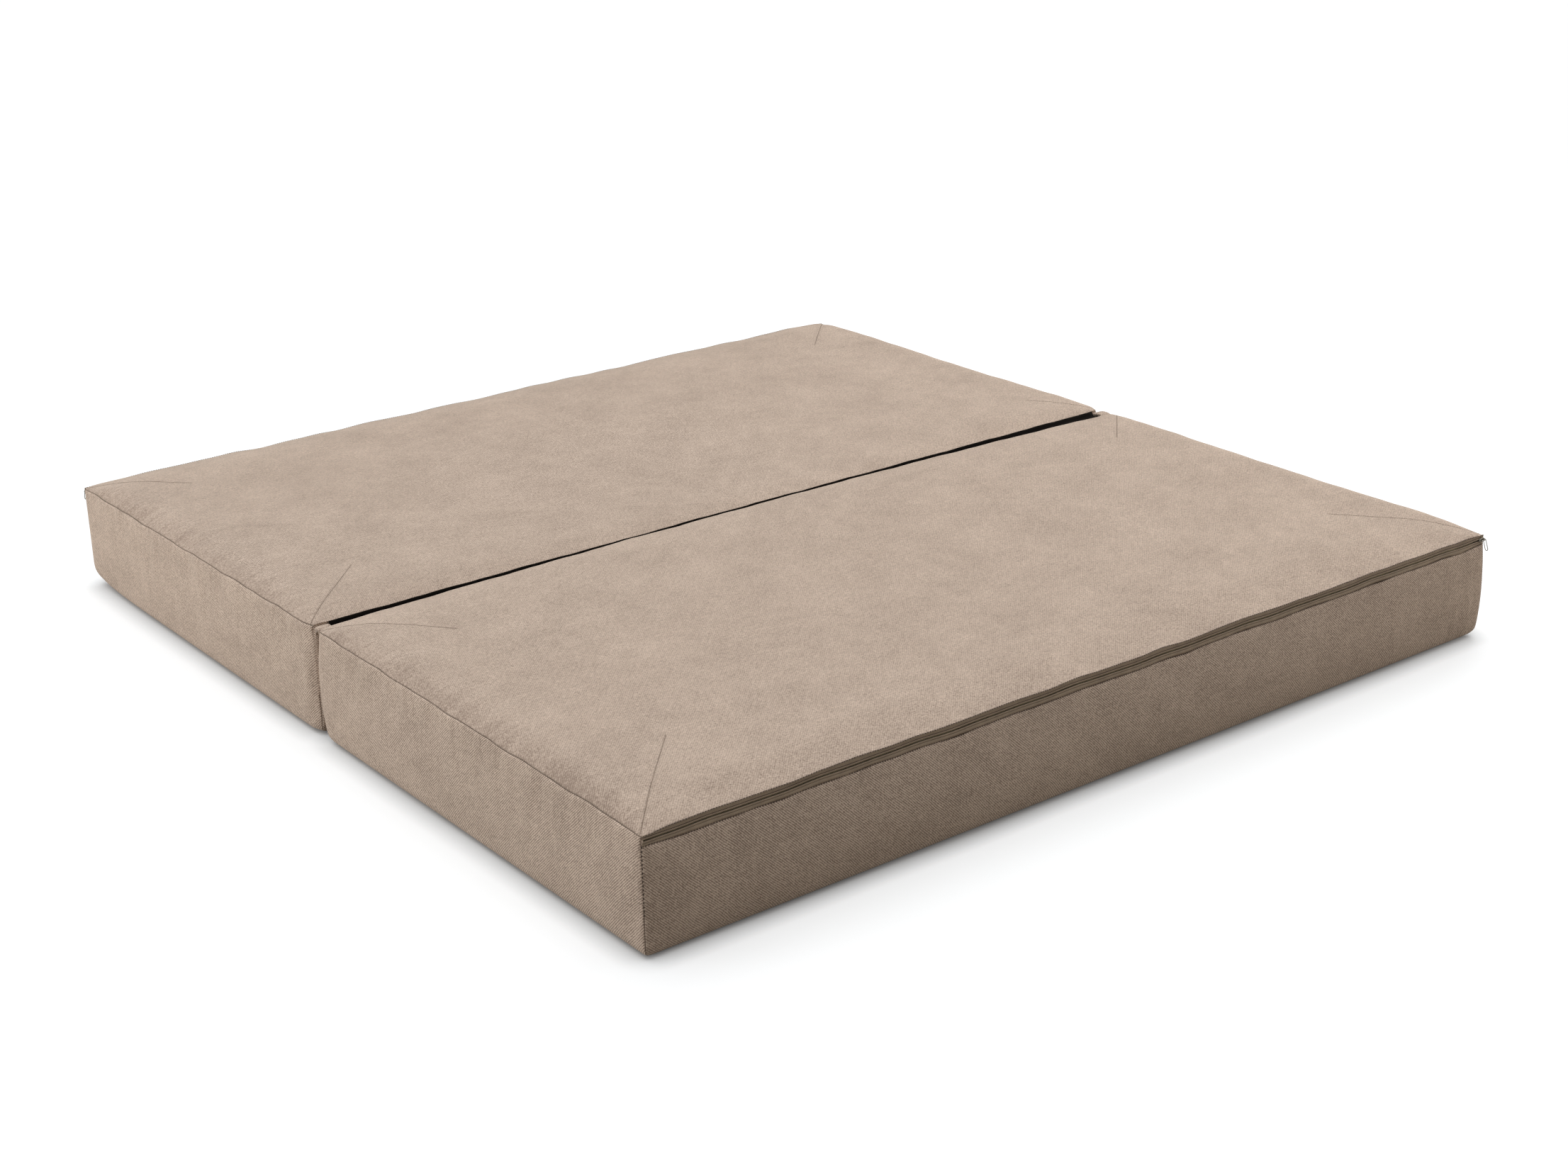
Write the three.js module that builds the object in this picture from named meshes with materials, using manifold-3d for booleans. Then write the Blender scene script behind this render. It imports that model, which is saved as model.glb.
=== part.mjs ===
// A fold-out sofa bed: two long foam cushions in zipped covers, joined along one edge by a fabric hinge.
// Millimetres, +Z up. X runs along the fold, the front cushion lies toward -Y and the back one toward +Y.
// The origin is on the floor, under the middle of the fold.
import * as THREE from "three";
import { mergeVertices } from "three/addons/utils/BufferGeometryUtils.js";
import Module from "manifold-3d";

const wasm = await Module();
wasm.setup();

// Whole cushion, measured over its cover.
const cushionLength = 2000;
const cushionDepth = 1029;
const endBulge = 3;
const borderBulge = 12;
const borderFullnessShare = 0.8;
const bottomRadius = 22;
const outerCornerRadius = 12;
const jointCornerRadius = 18;
const clearance = 0.3;

// Thickness of a cushion at its crown, how far its seams lie below that, and how the top rises between them.
const cushionThickness = 235;
const zipDrop = 30;
const jointCornerDrop = 19;
const jointArch = 4;
const endArch = 5;
const crownRise = 9;
const crownPower = 6;

// Gap between the two joint faces, half on each side of the fold.
const jointHalfGapMiddle = 2.5;
const jointHalfGapEnd = 13;
const jointBowPower = 3;

// Cover cloth, wadding and foam.
const coverThickness = 2;
const waddingThickness = 10;
const foamSideInset = 4;
const foamZipInset = 8;
const waddingZipInset = 6;

// Zip tapes and coils.
const tapeHalfHeight = 13;
const tapeEndHalfHeight = 5;
const tapeTaper = 70;
const tapeEndInset = 3;
const tapeThickness = 0.8;
const zipSlot = 1.6;
const coilHeight = 2.2;
const coilThickness = 1.5;
const coilEndInset = 7;

// Zip slider with its bail, and the wire pull that hangs on the bail.
const sliderLength = 15;
const sliderHeight = 8;
const sliderNoseHeight = 5;
const sliderPlate = 1.5;
const sliderClearance = 0.5;
const sliderNeckLength = 5;
const sliderNeckThickness = 1;
const sliderEndGap = 0.5;
const bailLength = 9;
const bailThickness = 2;
const bailOffset = 2.5;
const pullWire = 1.5;
const pullOpening = 4.6;
const pullLength = 25;
const pullSwingGap = 0.4;
const pullRestTilt = 20;
const pullSideShare = 0.75;

// Fabric hinge between the cushions.
const stripThickness = 1;
const stripDrop = 1;
const stripFlange = 10;
const stripDepth = 14;
const stripEndInset = 38;
const tabWidth = 28;
const tabEndInset = 8;
const tabThickness = 2.4;
const tabFlange = 12;
const tabArch = 4;
const tabDrop = 3;
const tabShoulderShare = 0.3;
const tabShoulderRiseShare = 0.7;

// Evenly spaced stations between the taper stations of a cushion, and steps of its rounded edges.
const stationsAlong = 8;
const stationsAcross = 5;
const bottomArcSteps = 3;
const wallSteps = 4;
const foamArcSteps = 2;
const foamWallSteps = 3;
const pullArcSteps = 8;
const stripSteps = 12;

// Sizes that follow from the values above.
const zipHeight = cushionThickness - zipDrop;
const jointCornerHeight = cushionThickness - jointCornerDrop;
const foamBottomRadius = bottomRadius - waddingThickness;
const halfLength = cushionLength / 2 - endBulge;
const halfDepth = cushionDepth / 2;
const coilFront = -cushionDepth + tapeThickness + clearance;
const coilBack = coilFront + coilThickness;
const sliderFront = -cushionDepth - sliderClearance - sliderPlate;
const sliderBack = coilBack + sliderClearance + sliderPlate;
const sliderRestX = halfLength - coverThickness - sliderEndGap - sliderLength / 2;
const pullOuterRadius = pullOpening / 2 + pullWire;
const bailReach = pullOuterRadius + pullSwingGap;
const bailY = sliderFront - bailReach;
const pullSideX = (bailLength / 2 - bailThickness - clearance - pullWire / 2) * pullSideShare;
const pullRestX = sliderRestX + bailOffset + pullSideX;

// Half height of the zip tape at a place along the cushion: full in the middle, pointed at the ends.
function tapeHalfAt(x) {
  const fromEnd = halfLength - Math.abs(x);
  const share = THREE.MathUtils.clamp((fromEnd - tapeEndInset) / (tapeTaper - tapeEndInset), 0, 1);
  return THREE.MathUtils.lerp(tapeEndHalfHeight, tapeHalfHeight, share);
}

// Half gap of the fold at a place along the cushion.
function jointHalfGap(u) {
  return THREE.MathUtils.lerp(jointHalfGapMiddle, jointHalfGapEnd, Math.abs(u) ** jointBowPower);
}

function jointSeamHeight(u) {
  return jointCornerHeight + jointArch * (1 - u * u);
}

function endSeamHeight(v) {
  const straight = THREE.MathUtils.lerp(zipHeight + tapeEndHalfHeight, jointCornerHeight, (1 + v) / 2);
  return straight + endArch * (1 - v * v);
}

function upperZipSeamHeight(u) {
  return zipHeight + tapeHalfAt(u * halfLength);
}

// Height of the seam line carried over the whole cushion, raised to the crown in the middle.
function topHeight(u, v) {
  const zipShare = (1 - v) / 2;
  const jointShare = (1 + v) / 2;
  const across = zipShare * upperZipSeamHeight(u) + jointShare * jointSeamHeight(u);
  const along = endSeamHeight(v);
  const corners = zipShare * endSeamHeight(-1) + jointShare * endSeamHeight(1);
  const crown = crownRise * (1 - Math.abs(u) ** crownPower) * (1 - Math.abs(v) ** crownPower);
  return across + along - corners + crown;
}

// Outward swell of a border at a share of its height: none at the seam and little at the floor.
function swell(share) {
  return Math.max(0, Math.sin(Math.PI * THREE.MathUtils.clamp(share, 0, 1))) ** borderFullnessShare;
}

// Place in plan of a point of a border. Insets move each side inward, and the swell moves it outward.
function planPoint(u, v, inset, zipInset, fullness) {
  const x = u * (halfLength - inset + endBulge * fullness * (1 - v ** 4));
  const zipSide = -cushionDepth + zipInset - borderBulge * fullness * (1 - u ** 4);
  const jointSide = -jointHalfGap(u) - inset;
  const y = THREE.MathUtils.lerp(zipSide, jointSide, (1 + v) / 2);
  return new THREE.Vector2(x, y);
}

// Place of a point of a layer under the top. Insets move only the layer's edge, so that layers stay parallel.
function layerPoint(shares, inset, zipInset, offset) {
  const x = shares.u * halfLength - shares.edgeU * inset;
  const u = x / halfLength;
  const jointSide = -jointHalfGap(u);
  const edgeInset = shares.edgeV < 0 ? zipInset : inset;
  const y = THREE.MathUtils.lerp(-cushionDepth, jointSide, (1 + shares.v) / 2) - shares.edgeV * edgeInset;
  const v = THREE.MathUtils.mapLinear(y, -cushionDepth, jointSide, -1, 1);
  return [x, y, topHeight(u, v) + offset];
}

// Shares from -1 to 1 with a station at the corner arcs and at a taper length from each end.
function shareStations(half, startRadius, endRadius, taper, count) {
  const inner = half - taper;
  const shares = [-1, -1 + startRadius / half];
  for (let k = 0; k <= count; k += 1) {
    shares.push(THREE.MathUtils.lerp(-inner, inner, k / count) / half);
  }
  shares.push(1 - endRadius / half, 1);
  return shares;
}

const uStations = shareStations(halfLength, outerCornerRadius, outerCornerRadius, tapeTaper, stationsAlong);
const vStations = shareStations(halfDepth, outerCornerRadius, jointCornerRadius, tapeTaper, stationsAcross);
const lastU = uStations.length - 1;
const lastV = vStations.length - 1;

// A grid point's shares. The four corner points are drawn in to the middle of their corner arcs.
function gridShares(i, j) {
  const radius = j === 0 ? outerCornerRadius : jointCornerRadius;
  const atCorner = (i === 0 || i === lastU) && (j === 0 || j === lastV);
  const drawnIn = atCorner ? radius * (1 - Math.SQRT1_2) : 0;
  return {
    u: uStations[i] - Math.sign(uStations[i]) * (drawnIn / halfLength),
    v: vStations[j] - Math.sign(vStations[j]) * (drawnIn / halfDepth),
    edgeU: i === 0 || i === lastU ? Math.sign(uStations[i]) : 0,
    edgeV: j === 0 || j === lastV ? Math.sign(vStations[j]) : 0,
    side: sideOf(i, j),
  };
}

function sideOf(i, j) {
  if (j === 0) return "zip";
  if (j === lastV) return "joint";
  if (i === 0 || i === lastU) return "end";
  return "inside";
}

// The grid points round the edge, anticlockwise seen from above.
function edgeLoop() {
  const loop = [];
  for (let i = 0; i < lastU; i += 1) loop.push([i, 0]);
  for (let j = 0; j < lastV; j += 1) loop.push([lastU, j]);
  for (let i = lastU; i > 0; i -= 1) loop.push([i, lastV]);
  for (let j = lastV; j > 0; j -= 1) loop.push([0, j]);
  return loop;
}

const edge = edgeLoop();

// Collects the faces of one closed solid.
class SolidMaker {
  constructor() {
    this.positions = [];
    this.faces = [];
  }

  add(x, y, z) {
    this.positions.push(x, y, z);
    return this.positions.length / 3 - 1;
  }

  quad(a, b, c, d) {
    this.faces.push(a, b, c, a, c, d);
  }

  // A full sheet of the cushion's grid. The place function takes a grid point's shares.
  sheet(place, facesUp) {
    const index = [];
    for (let i = 0; i <= lastU; i += 1) {
      index.push([]);
      for (let j = 0; j <= lastV; j += 1) index[i].push(this.add(...place(gridShares(i, j))));
    }
    for (let i = 0; i < lastU; i += 1) {
      for (let j = 0; j < lastV; j += 1) {
        const [start, along] = [index[i][j], index[i + 1][j]];
        const [across, opposite] = [index[i][j + 1], index[i + 1][j + 1]];
        if (facesUp) this.quad(start, along, opposite, across);
        else this.quad(start, across, opposite, along);
      }
    }
    return edge.map(([i, j]) => index[i][j]);
  }

  // One ring of points round the cushion.
  ring(place) {
    return edge.map(([i, j]) => this.add(...place(gridShares(i, j))));
  }

  // Joins two rings. The second lies above the first on an outer wall, and below it on an inner one.
  band(first, second) {
    for (let k = 0; k < first.length; k += 1) {
      const next = (k + 1) % first.length;
      this.quad(first[k], first[next], second[next], second[k]);
    }
  }

  bands(rings) {
    for (let k = 0; k + 1 < rings.length; k += 1) this.band(rings[k], rings[k + 1]);
  }

  geometry() {
    const geometry = new THREE.BufferGeometry();
    geometry.setAttribute("position", new THREE.Float32BufferAttribute(this.positions, 3));
    geometry.setIndex(this.faces);
    return geometry;
  }
}

// A crowned sheet that follows the top of the cushion, between two depths below the seam surface.
function crownedSheet(upperOffset, lowerOffset, inset, zipInset) {
  const maker = new SolidMaker();
  const surface = (offset) => (shares) => layerPoint(shares, inset, zipInset, offset);
  const upper = maker.sheet(surface(upperOffset), true);
  const lower = maker.sheet(surface(lowerOffset), false);
  maker.band(lower, upper);
  return maker.geometry();
}

// Seam height of the lower cover's rim: under the zip tape on the zip side, under the top panel elsewhere.
function rimHeight(u, v, side) {
  if (side === "zip") return zipHeight - tapeHalfAt(u * halfLength) - clearance;
  if (side === "joint") return jointSeamHeight(u);
  return endSeamHeight(v);
}

// The lower cover is a tray: base, two short ends, the zip side and the joint side, open at the top.
function lowerCoverGeometry() {
  const maker = new SolidMaker();
  const skin = (depth) => {
    const radius = bottomRadius - depth;
    const arcRing = (angle) => {
      const inset = depth + radius * (1 - Math.sin(angle));
      const z = depth + radius * (1 - Math.cos(angle));
      return ({ u, v, side }) => {
        const fullness = side === "inside" ? 0 : swell(z / rimHeight(u, v, side)) * Math.sin(angle);
        const plan = planPoint(u, v, inset, inset, fullness);
        return [plan.x, plan.y, z];
      };
    };
    const wallRing = (share) => ({ u, v, side }) => {
      const z = THREE.MathUtils.lerp(bottomRadius, rimHeight(u, v, side), share);
      const plan = planPoint(u, v, depth, depth, swell(z / rimHeight(u, v, side)));
      return [plan.x, plan.y, z];
    };
    return { arcRing, wallRing };
  };
  const rings = (depth, base) => {
    const { arcRing, wallRing } = skin(depth);
    const list = [base];
    for (let k = 1; k <= bottomArcSteps; k += 1) {
      list.push(maker.ring(arcRing((Math.PI / 2) * (k / bottomArcSteps))));
    }
    for (let k = 1; k <= wallSteps; k += 1) list.push(maker.ring(wallRing(k / wallSteps)));
    return list;
  };
  const outer = rings(0, maker.sheet(skin(0).arcRing(0), false));
  const inner = rings(coverThickness, maker.sheet(skin(coverThickness).arcRing(0), true));
  maker.bands(outer);
  maker.bands([outer.at(-1), ...inner.reverse()]);
  return maker.geometry();
}

// The foam block fills the cover between its two layers of wadding, with rounded lower edges.
function foamCoreGeometry() {
  const maker = new SolidMaker();
  const baseHeight = coverThickness + waddingThickness + 2 * clearance;
  const topOffset = -waddingThickness - clearance;
  const foamTop = (u, v) => topHeight(u, v) + topOffset;
  const arcRing = (angle) => {
    const inset = foamBottomRadius * (1 - Math.sin(angle));
    const z = baseHeight + foamBottomRadius * (1 - Math.cos(angle));
    return ({ u, v }) => {
      const fullness = swell(z / foamTop(u, v)) * Math.sin(angle);
      const plan = planPoint(u, v, foamSideInset + inset, foamZipInset + inset, fullness);
      return [plan.x, plan.y, z];
    };
  };
  const wallRing = (share) => ({ u, v }) => {
    const z = THREE.MathUtils.lerp(baseHeight + foamBottomRadius, foamTop(u, v), share);
    const plan = planPoint(u, v, foamSideInset, foamZipInset, swell(z / foamTop(u, v)));
    return [plan.x, plan.y, z];
  };
  const rings = [maker.sheet(arcRing(0), false)];
  for (let k = 1; k <= foamArcSteps; k += 1) {
    rings.push(maker.ring(arcRing((Math.PI / 2) * (k / foamArcSteps))));
  }
  for (let k = 1; k < foamWallSteps; k += 1) rings.push(maker.ring(wallRing(k / foamWallSteps)));
  rings.push(maker.sheet((shares) => layerPoint(shares, foamSideInset, foamZipInset, topOffset), true));
  maker.bands(rings);
  return maker.geometry();
}

// The lower wadding lies flat on the cover's base, inside its rounded edge.
function waddingBaseGeometry() {
  const maker = new SolidMaker();
  const surface = (z) => ({ u, v }) => {
    const plan = planPoint(u, v, bottomRadius, bottomRadius, 0);
    return [plan.x, plan.y, z];
  };
  const lowerHeight = coverThickness + clearance;
  const upper = maker.sheet(surface(lowerHeight + waddingThickness), true);
  const lower = maker.sheet(surface(lowerHeight), false);
  maker.band(lower, upper);
  return maker.geometry();
}

// Extrudes an outline drawn in X and Z toward -Y, starting at a given Y.
function plateGeometry(outline, thickness, startY) {
  const settings = { depth: thickness, bevelEnabled: false };
  const geometry = new THREE.ExtrudeGeometry(new THREE.Shape(outline), settings);
  geometry.rotateX(Math.PI / 2);
  geometry.translate(0, startY, 0);
  return geometry;
}

// One half of the zip tape. The side is 1 above the coil line and -1 below it.
function tapeGeometry(side) {
  const endX = halfLength - tapeEndInset;
  const taperX = halfLength - tapeTaper;
  const inner = zipHeight + side * (zipSlot / 2);
  const outline = [
    new THREE.Vector2(-endX, inner),
    new THREE.Vector2(endX, inner),
    new THREE.Vector2(endX, zipHeight + side * tapeEndHalfHeight),
    new THREE.Vector2(taperX, zipHeight + side * tapeHalfHeight),
    new THREE.Vector2(-taperX, zipHeight + side * tapeHalfHeight),
    new THREE.Vector2(-endX, zipHeight + side * tapeEndHalfHeight),
  ];
  return plateGeometry(outline, tapeThickness, -cushionDepth + tapeThickness);
}

// One coil, sewn to the inner face of its tape.
function coilGeometry(side) {
  const endX = halfLength - coilEndInset;
  const inner = zipHeight + side * (zipSlot / 2);
  const outer = inner + side * coilHeight;
  const outline = [
    new THREE.Vector2(-endX, inner),
    new THREE.Vector2(endX, inner),
    new THREE.Vector2(endX, outer),
    new THREE.Vector2(-endX, outer),
  ];
  return plateGeometry(outline, coilThickness, coilBack);
}

// A box between two corners.
function boxGeometry(low, high) {
  const size = high.clone().sub(low);
  const centre = high.clone().add(low).multiplyScalar(0.5);
  const geometry = new THREE.BoxGeometry(size.x, size.y, size.z);
  geometry.translate(centre.x, centre.y, centre.z);
  return geometry;
}

function toManifold(geometry) {
  const bare = geometry.clone();
  bare.deleteAttribute("normal");
  bare.deleteAttribute("uv");
  const merged = mergeVertices(bare);
  const vertProperties = new Float32Array(merged.attributes.position.array);
  const triVerts = new Uint32Array(merged.index.array);
  return new wasm.Manifold(new wasm.Mesh({ numProp: 3, vertProperties, triVerts }));
}

function joined(geometries) {
  const whole = geometries.map(toManifold).reduce((sum, next) => sum.add(next));
  const mesh = whole.getMesh();
  const geometry = new THREE.BufferGeometry();
  geometry.setAttribute("position", new THREE.Float32BufferAttribute(mesh.vertProperties, 3));
  geometry.setIndex([...mesh.triVerts]);
  return geometry;
}

// The slider's plate outline: wide toward the closed end of the zip, narrow toward the open end.
function sliderOutline(centreX) {
  const rear = centreX - sliderLength / 2;
  const nose = centreX + sliderLength / 2;
  return [
    new THREE.Vector2(rear, zipHeight - sliderNoseHeight / 2),
    new THREE.Vector2(centreX, zipHeight - sliderHeight / 2),
    new THREE.Vector2(nose, zipHeight - sliderHeight / 2),
    new THREE.Vector2(nose, zipHeight + sliderHeight / 2),
    new THREE.Vector2(centreX, zipHeight + sliderHeight / 2),
    new THREE.Vector2(rear, zipHeight + sliderNoseHeight / 2),
  ];
}

// The slider runs on both faces of the zip. Its neck passes between the coils, and its bail carries the pull.
function sliderGeometry() {
  const outline = sliderOutline(sliderRestX);
  const bailX = sliderRestX + bailOffset;
  const halfBail = bailThickness / 2;
  const frontPlate = plateGeometry(outline, sliderPlate, sliderFront + sliderPlate);
  const backPlate = plateGeometry(outline, sliderPlate, sliderBack);
  const neck = boxGeometry(
    new THREE.Vector3(sliderRestX, sliderFront + sliderPlate / 2, zipHeight - sliderNeckThickness / 2),
    new THREE.Vector3(
      sliderRestX + sliderNeckLength,
      sliderBack - sliderPlate / 2,
      zipHeight + sliderNeckThickness / 2,
    ),
  );
  const rod = boxGeometry(
    new THREE.Vector3(bailX - bailLength / 2, bailY - halfBail, zipHeight - halfBail),
    new THREE.Vector3(bailX + bailLength / 2, bailY + halfBail, zipHeight + halfBail),
  );
  const feet = [-1, 1].map((end) => {
    const footX = bailX + end * (bailLength / 2 - halfBail);
    return boxGeometry(
      new THREE.Vector3(footX - halfBail, bailY, zipHeight - halfBail),
      new THREE.Vector3(footX + halfBail, sliderFront + sliderPlate / 2, zipHeight + halfBail),
    );
  });
  return joined([frontPlate, backPlate, neck, rod, ...feet]);
}

// A long ring outline in Y and Z that hangs from the origin, which is the middle of its upper arc.
function pullOutline(radius) {
  const lowerCentre = -(pullLength - 2 * pullOuterRadius);
  const points = [];
  for (let k = 0; k <= pullArcSteps; k += 1) {
    const angle = (Math.PI * k) / pullArcSteps;
    points.push(new THREE.Vector2(radius * Math.cos(angle), radius * Math.sin(angle)));
  }
  for (let k = 0; k <= pullArcSteps; k += 1) {
    const angle = Math.PI + (Math.PI * k) / pullArcSteps;
    points.push(new THREE.Vector2(radius * Math.cos(angle), lowerCentre + radius * Math.sin(angle)));
  }
  return points;
}

// The pull is a long wire ring round the bail. It hangs down and leans out over the swelling border.
function pullGeometry() {
  const shape = new THREE.Shape(pullOutline(pullOuterRadius));
  shape.holes.push(new THREE.Path(pullOutline(pullOpening / 2)));
  const geometry = new THREE.ExtrudeGeometry(shape, { depth: pullWire, bevelEnabled: false });
  geometry.translate(0, 0, -pullWire / 2);
  geometry.rotateX(Math.PI / 2);
  geometry.rotateZ(Math.PI / 2);
  geometry.rotateX(THREE.MathUtils.degToRad(-pullRestTilt));
  geometry.translate(pullRestX, bailY, zipHeight);
  return geometry;
}

// Joins equal outlines drawn in Y and Z, one at each place along X, and closes both ends.
function loftGeometry(places, outlineAt) {
  const maker = new SolidMaker();
  const outlines = places.map(outlineAt);
  const rings = outlines.map((outline, k) => outline.map((point) => maker.add(places[k], point.x, point.y)));
  maker.bands(rings);
  const caps = THREE.ShapeUtils.triangulateShape(outlines[0], []);
  for (const [a, b, c] of caps) {
    maker.faces.push(rings[0][a], rings[0][c], rings[0][b]);
    maker.faces.push(rings.at(-1)[a], rings.at(-1)[b], rings.at(-1)[c]);
  }
  return maker.geometry();
}

// A bent strip's outline, from half of its outer face and half of its inner face, mirrored in Y.
function mirroredOutline(outerHalf, innerHalf) {
  const mirrored = (half) => half.slice(0, -1).reverse().map((point) => new THREE.Vector2(-point.x, point.y));
  const outer = [...outerHalf, ...mirrored(outerHalf)];
  const inner = [...innerHalf, ...mirrored(innerHalf)];
  return [...outer, ...inner.reverse()];
}

// The hinge strip hangs as a narrow valley between the joint faces, just under their top seams.
function hingeStripGeometry() {
  const endX = halfLength - stripEndInset;
  const places = [];
  for (let k = 0; k <= stripSteps; k += 1) places.push(THREE.MathUtils.lerp(-endX, endX, k / stripSteps));
  return loftGeometry(places, (x) => {
    const top = jointSeamHeight(x / halfLength) - stripDrop;
    const outerY = jointHalfGap(x / halfLength) - clearance;
    const innerY = outerY - stripThickness;
    const outerHalf = [
      new THREE.Vector2(-outerY, top),
      new THREE.Vector2(-outerY, top - stripFlange),
      new THREE.Vector2(0, top - stripDepth),
    ];
    const innerHalf = [
      new THREE.Vector2(-innerY, top),
      new THREE.Vector2(-innerY, top - stripFlange + stripThickness),
      new THREE.Vector2(0, top - stripDepth + stripThickness),
    ];
    return mirroredOutline(outerHalf, innerHalf);
  });
}

// A hinge tab arches over the end of the fold, from one joint face to the other.
function hingeTabGeometry(end) {
  const outerX = halfLength - tabEndInset;
  const places = end > 0 ? [outerX - tabWidth, outerX] : [-outerX, -outerX + tabWidth];
  return loftGeometry(places, (x) => {
    const faceY = jointHalfGap(x / halfLength) - clearance;
    const top = jointSeamHeight(x / halfLength) - tabDrop;
    const arch = (y, crownZ, lowZ) => [
      new THREE.Vector2(-y, lowZ),
      new THREE.Vector2(-y, crownZ - tabArch),
      new THREE.Vector2(-y * (1 - tabShoulderShare), crownZ - tabArch * (1 - tabShoulderRiseShare)),
      new THREE.Vector2(0, crownZ),
    ];
    const lowZ = top - tabArch - tabFlange;
    const innerHalf = arch(faceY - tabThickness, top - tabThickness, lowZ);
    return mirroredOutline(arch(faceY, top, lowZ), innerHalf).reverse();
  });
}

// Colours and finishes.
const upholstery = { color: 0xbbab9d, roughness: 0.95, metalness: 0 };
const borderCloth = { color: 0xb3a293, roughness: 0.95, metalness: 0 };
const tapeCloth = { color: 0x8f8175, roughness: 0.85, metalness: 0 };
const coilPlastic = { color: 0x6e635a, roughness: 0.5, metalness: 0 };
const zipMetal = { color: 0xc8c8c6, roughness: 0.3, metalness: 1 };
const foam = { color: 0xe9dfb8, roughness: 1, metalness: 0 };
const wadding = { color: 0xf3f2ee, roughness: 1, metalness: 0 };
const darkCloth = { color: 0x1a1613, roughness: 0.95, metalness: 0 };

function namedMesh(name, geometry, finish) {
  const mesh = new THREE.Mesh(geometry, new THREE.MeshStandardMaterial(finish));
  mesh.name = name;
  return mesh;
}

// Depths of the crowned layers below the seam surface.
const panelTop = clearance + coverThickness;
const waddingTop = 0;
const waddingUnder = waddingTop - waddingThickness;

// Both cushions are alike, so each list entry makes one piece of either.
const cushionPieces = [
  ["top_panel", () => crownedSheet(panelTop, clearance, 0, 0), upholstery],
  ["lower_cover", lowerCoverGeometry, borderCloth],
  ["wadding_top", () => crownedSheet(waddingTop, waddingUnder, foamSideInset, waddingZipInset), wadding],
  ["foam_core", foamCoreGeometry, foam],
  ["wadding_base", waddingBaseGeometry, wadding],
  ["zip_tape_upper", () => tapeGeometry(1), tapeCloth],
  ["zip_tape_lower", () => tapeGeometry(-1), tapeCloth],
  ["zip_coil_upper", () => coilGeometry(1), coilPlastic],
  ["zip_coil_lower", () => coilGeometry(-1), coilPlastic],
  ["zip_slider", sliderGeometry, zipMetal],
  ["zip_pull", pullGeometry, zipMetal],
];

function cushion(prefix, turn) {
  const group = new THREE.Group();
  for (const [name, make, finish] of cushionPieces) group.add(namedMesh(`${prefix}_${name}`, make(), finish));
  group.rotation.z = turn;
  return group;
}

const sofaBed = new THREE.Group();
sofaBed.add(cushion("front", 0));
sofaBed.add(cushion("back", Math.PI));
sofaBed.add(namedMesh("hinge_strip", hingeStripGeometry(), darkCloth));
sofaBed.add(namedMesh("hinge_tab_left", hingeTabGeometry(-1), upholstery));
sofaBed.add(namedMesh("hinge_tab_right", hingeTabGeometry(1), upholstery));

export default sofaBed;
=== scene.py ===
import math

import bmesh
import bpy
import numpy as np
from mathutils import Matrix, Vector
from mathutils.bvhtree import BVHTree


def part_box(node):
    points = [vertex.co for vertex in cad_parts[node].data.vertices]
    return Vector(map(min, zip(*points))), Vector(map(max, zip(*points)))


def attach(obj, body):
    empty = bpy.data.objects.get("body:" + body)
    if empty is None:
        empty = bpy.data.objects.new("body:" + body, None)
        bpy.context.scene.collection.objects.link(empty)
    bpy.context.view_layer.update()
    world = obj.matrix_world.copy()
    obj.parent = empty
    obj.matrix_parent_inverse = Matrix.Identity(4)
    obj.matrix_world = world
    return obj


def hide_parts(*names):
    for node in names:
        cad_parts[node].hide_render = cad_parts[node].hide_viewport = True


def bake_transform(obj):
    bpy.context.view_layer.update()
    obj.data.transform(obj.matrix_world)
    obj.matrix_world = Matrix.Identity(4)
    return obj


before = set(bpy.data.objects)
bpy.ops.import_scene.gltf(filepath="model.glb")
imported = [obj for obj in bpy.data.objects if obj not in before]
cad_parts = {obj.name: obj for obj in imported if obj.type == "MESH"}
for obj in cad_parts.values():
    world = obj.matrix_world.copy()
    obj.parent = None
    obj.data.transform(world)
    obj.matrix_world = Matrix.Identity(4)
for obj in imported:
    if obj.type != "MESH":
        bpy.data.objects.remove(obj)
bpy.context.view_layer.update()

MM = 0.001

# Sizes of the cushions, read from the frame where it holds them.
PANEL_LOW, PANEL_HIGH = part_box("front_top_panel")
HALF_LENGTH = PANEL_HIGH[0]
DEPTH = -PANEL_LOW[1]
ZIP_SLOT = 1.6 * MM
ZIP_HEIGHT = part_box("front_zip_coil_upper")[0][2] - ZIP_SLOT / 2

# How far the sides swell past the frame, and how much of that is lost toward the corners.
END_BULGE = 3 * MM
RIGHT_END_BULGE = 11 * MM
BORDER_BULGE = 12 * MM
BORDER_FULLNESS = 0.8
BULGE_POWER = 4
RIGHT_END_CORNER_LOSS = 0.3
RIGHT_BORDER_CORNER_LOSS = 0.7

# Radii of the bottom edge and of the upright corners. The back cushion has two softer bottom corners.
BOTTOM_RADIUS = 22 * MM
BACK_CORNER_SOFTENING = 22 * MM
BACK_CORNER_REACH = 70 * MM
ZIP_CORNER_RADIUS = 6 * MM
FRONT_JOINT_CORNER_RADIUS = 14 * MM
BACK_JOINT_CORNER_RADIUS = 28 * MM

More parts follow.
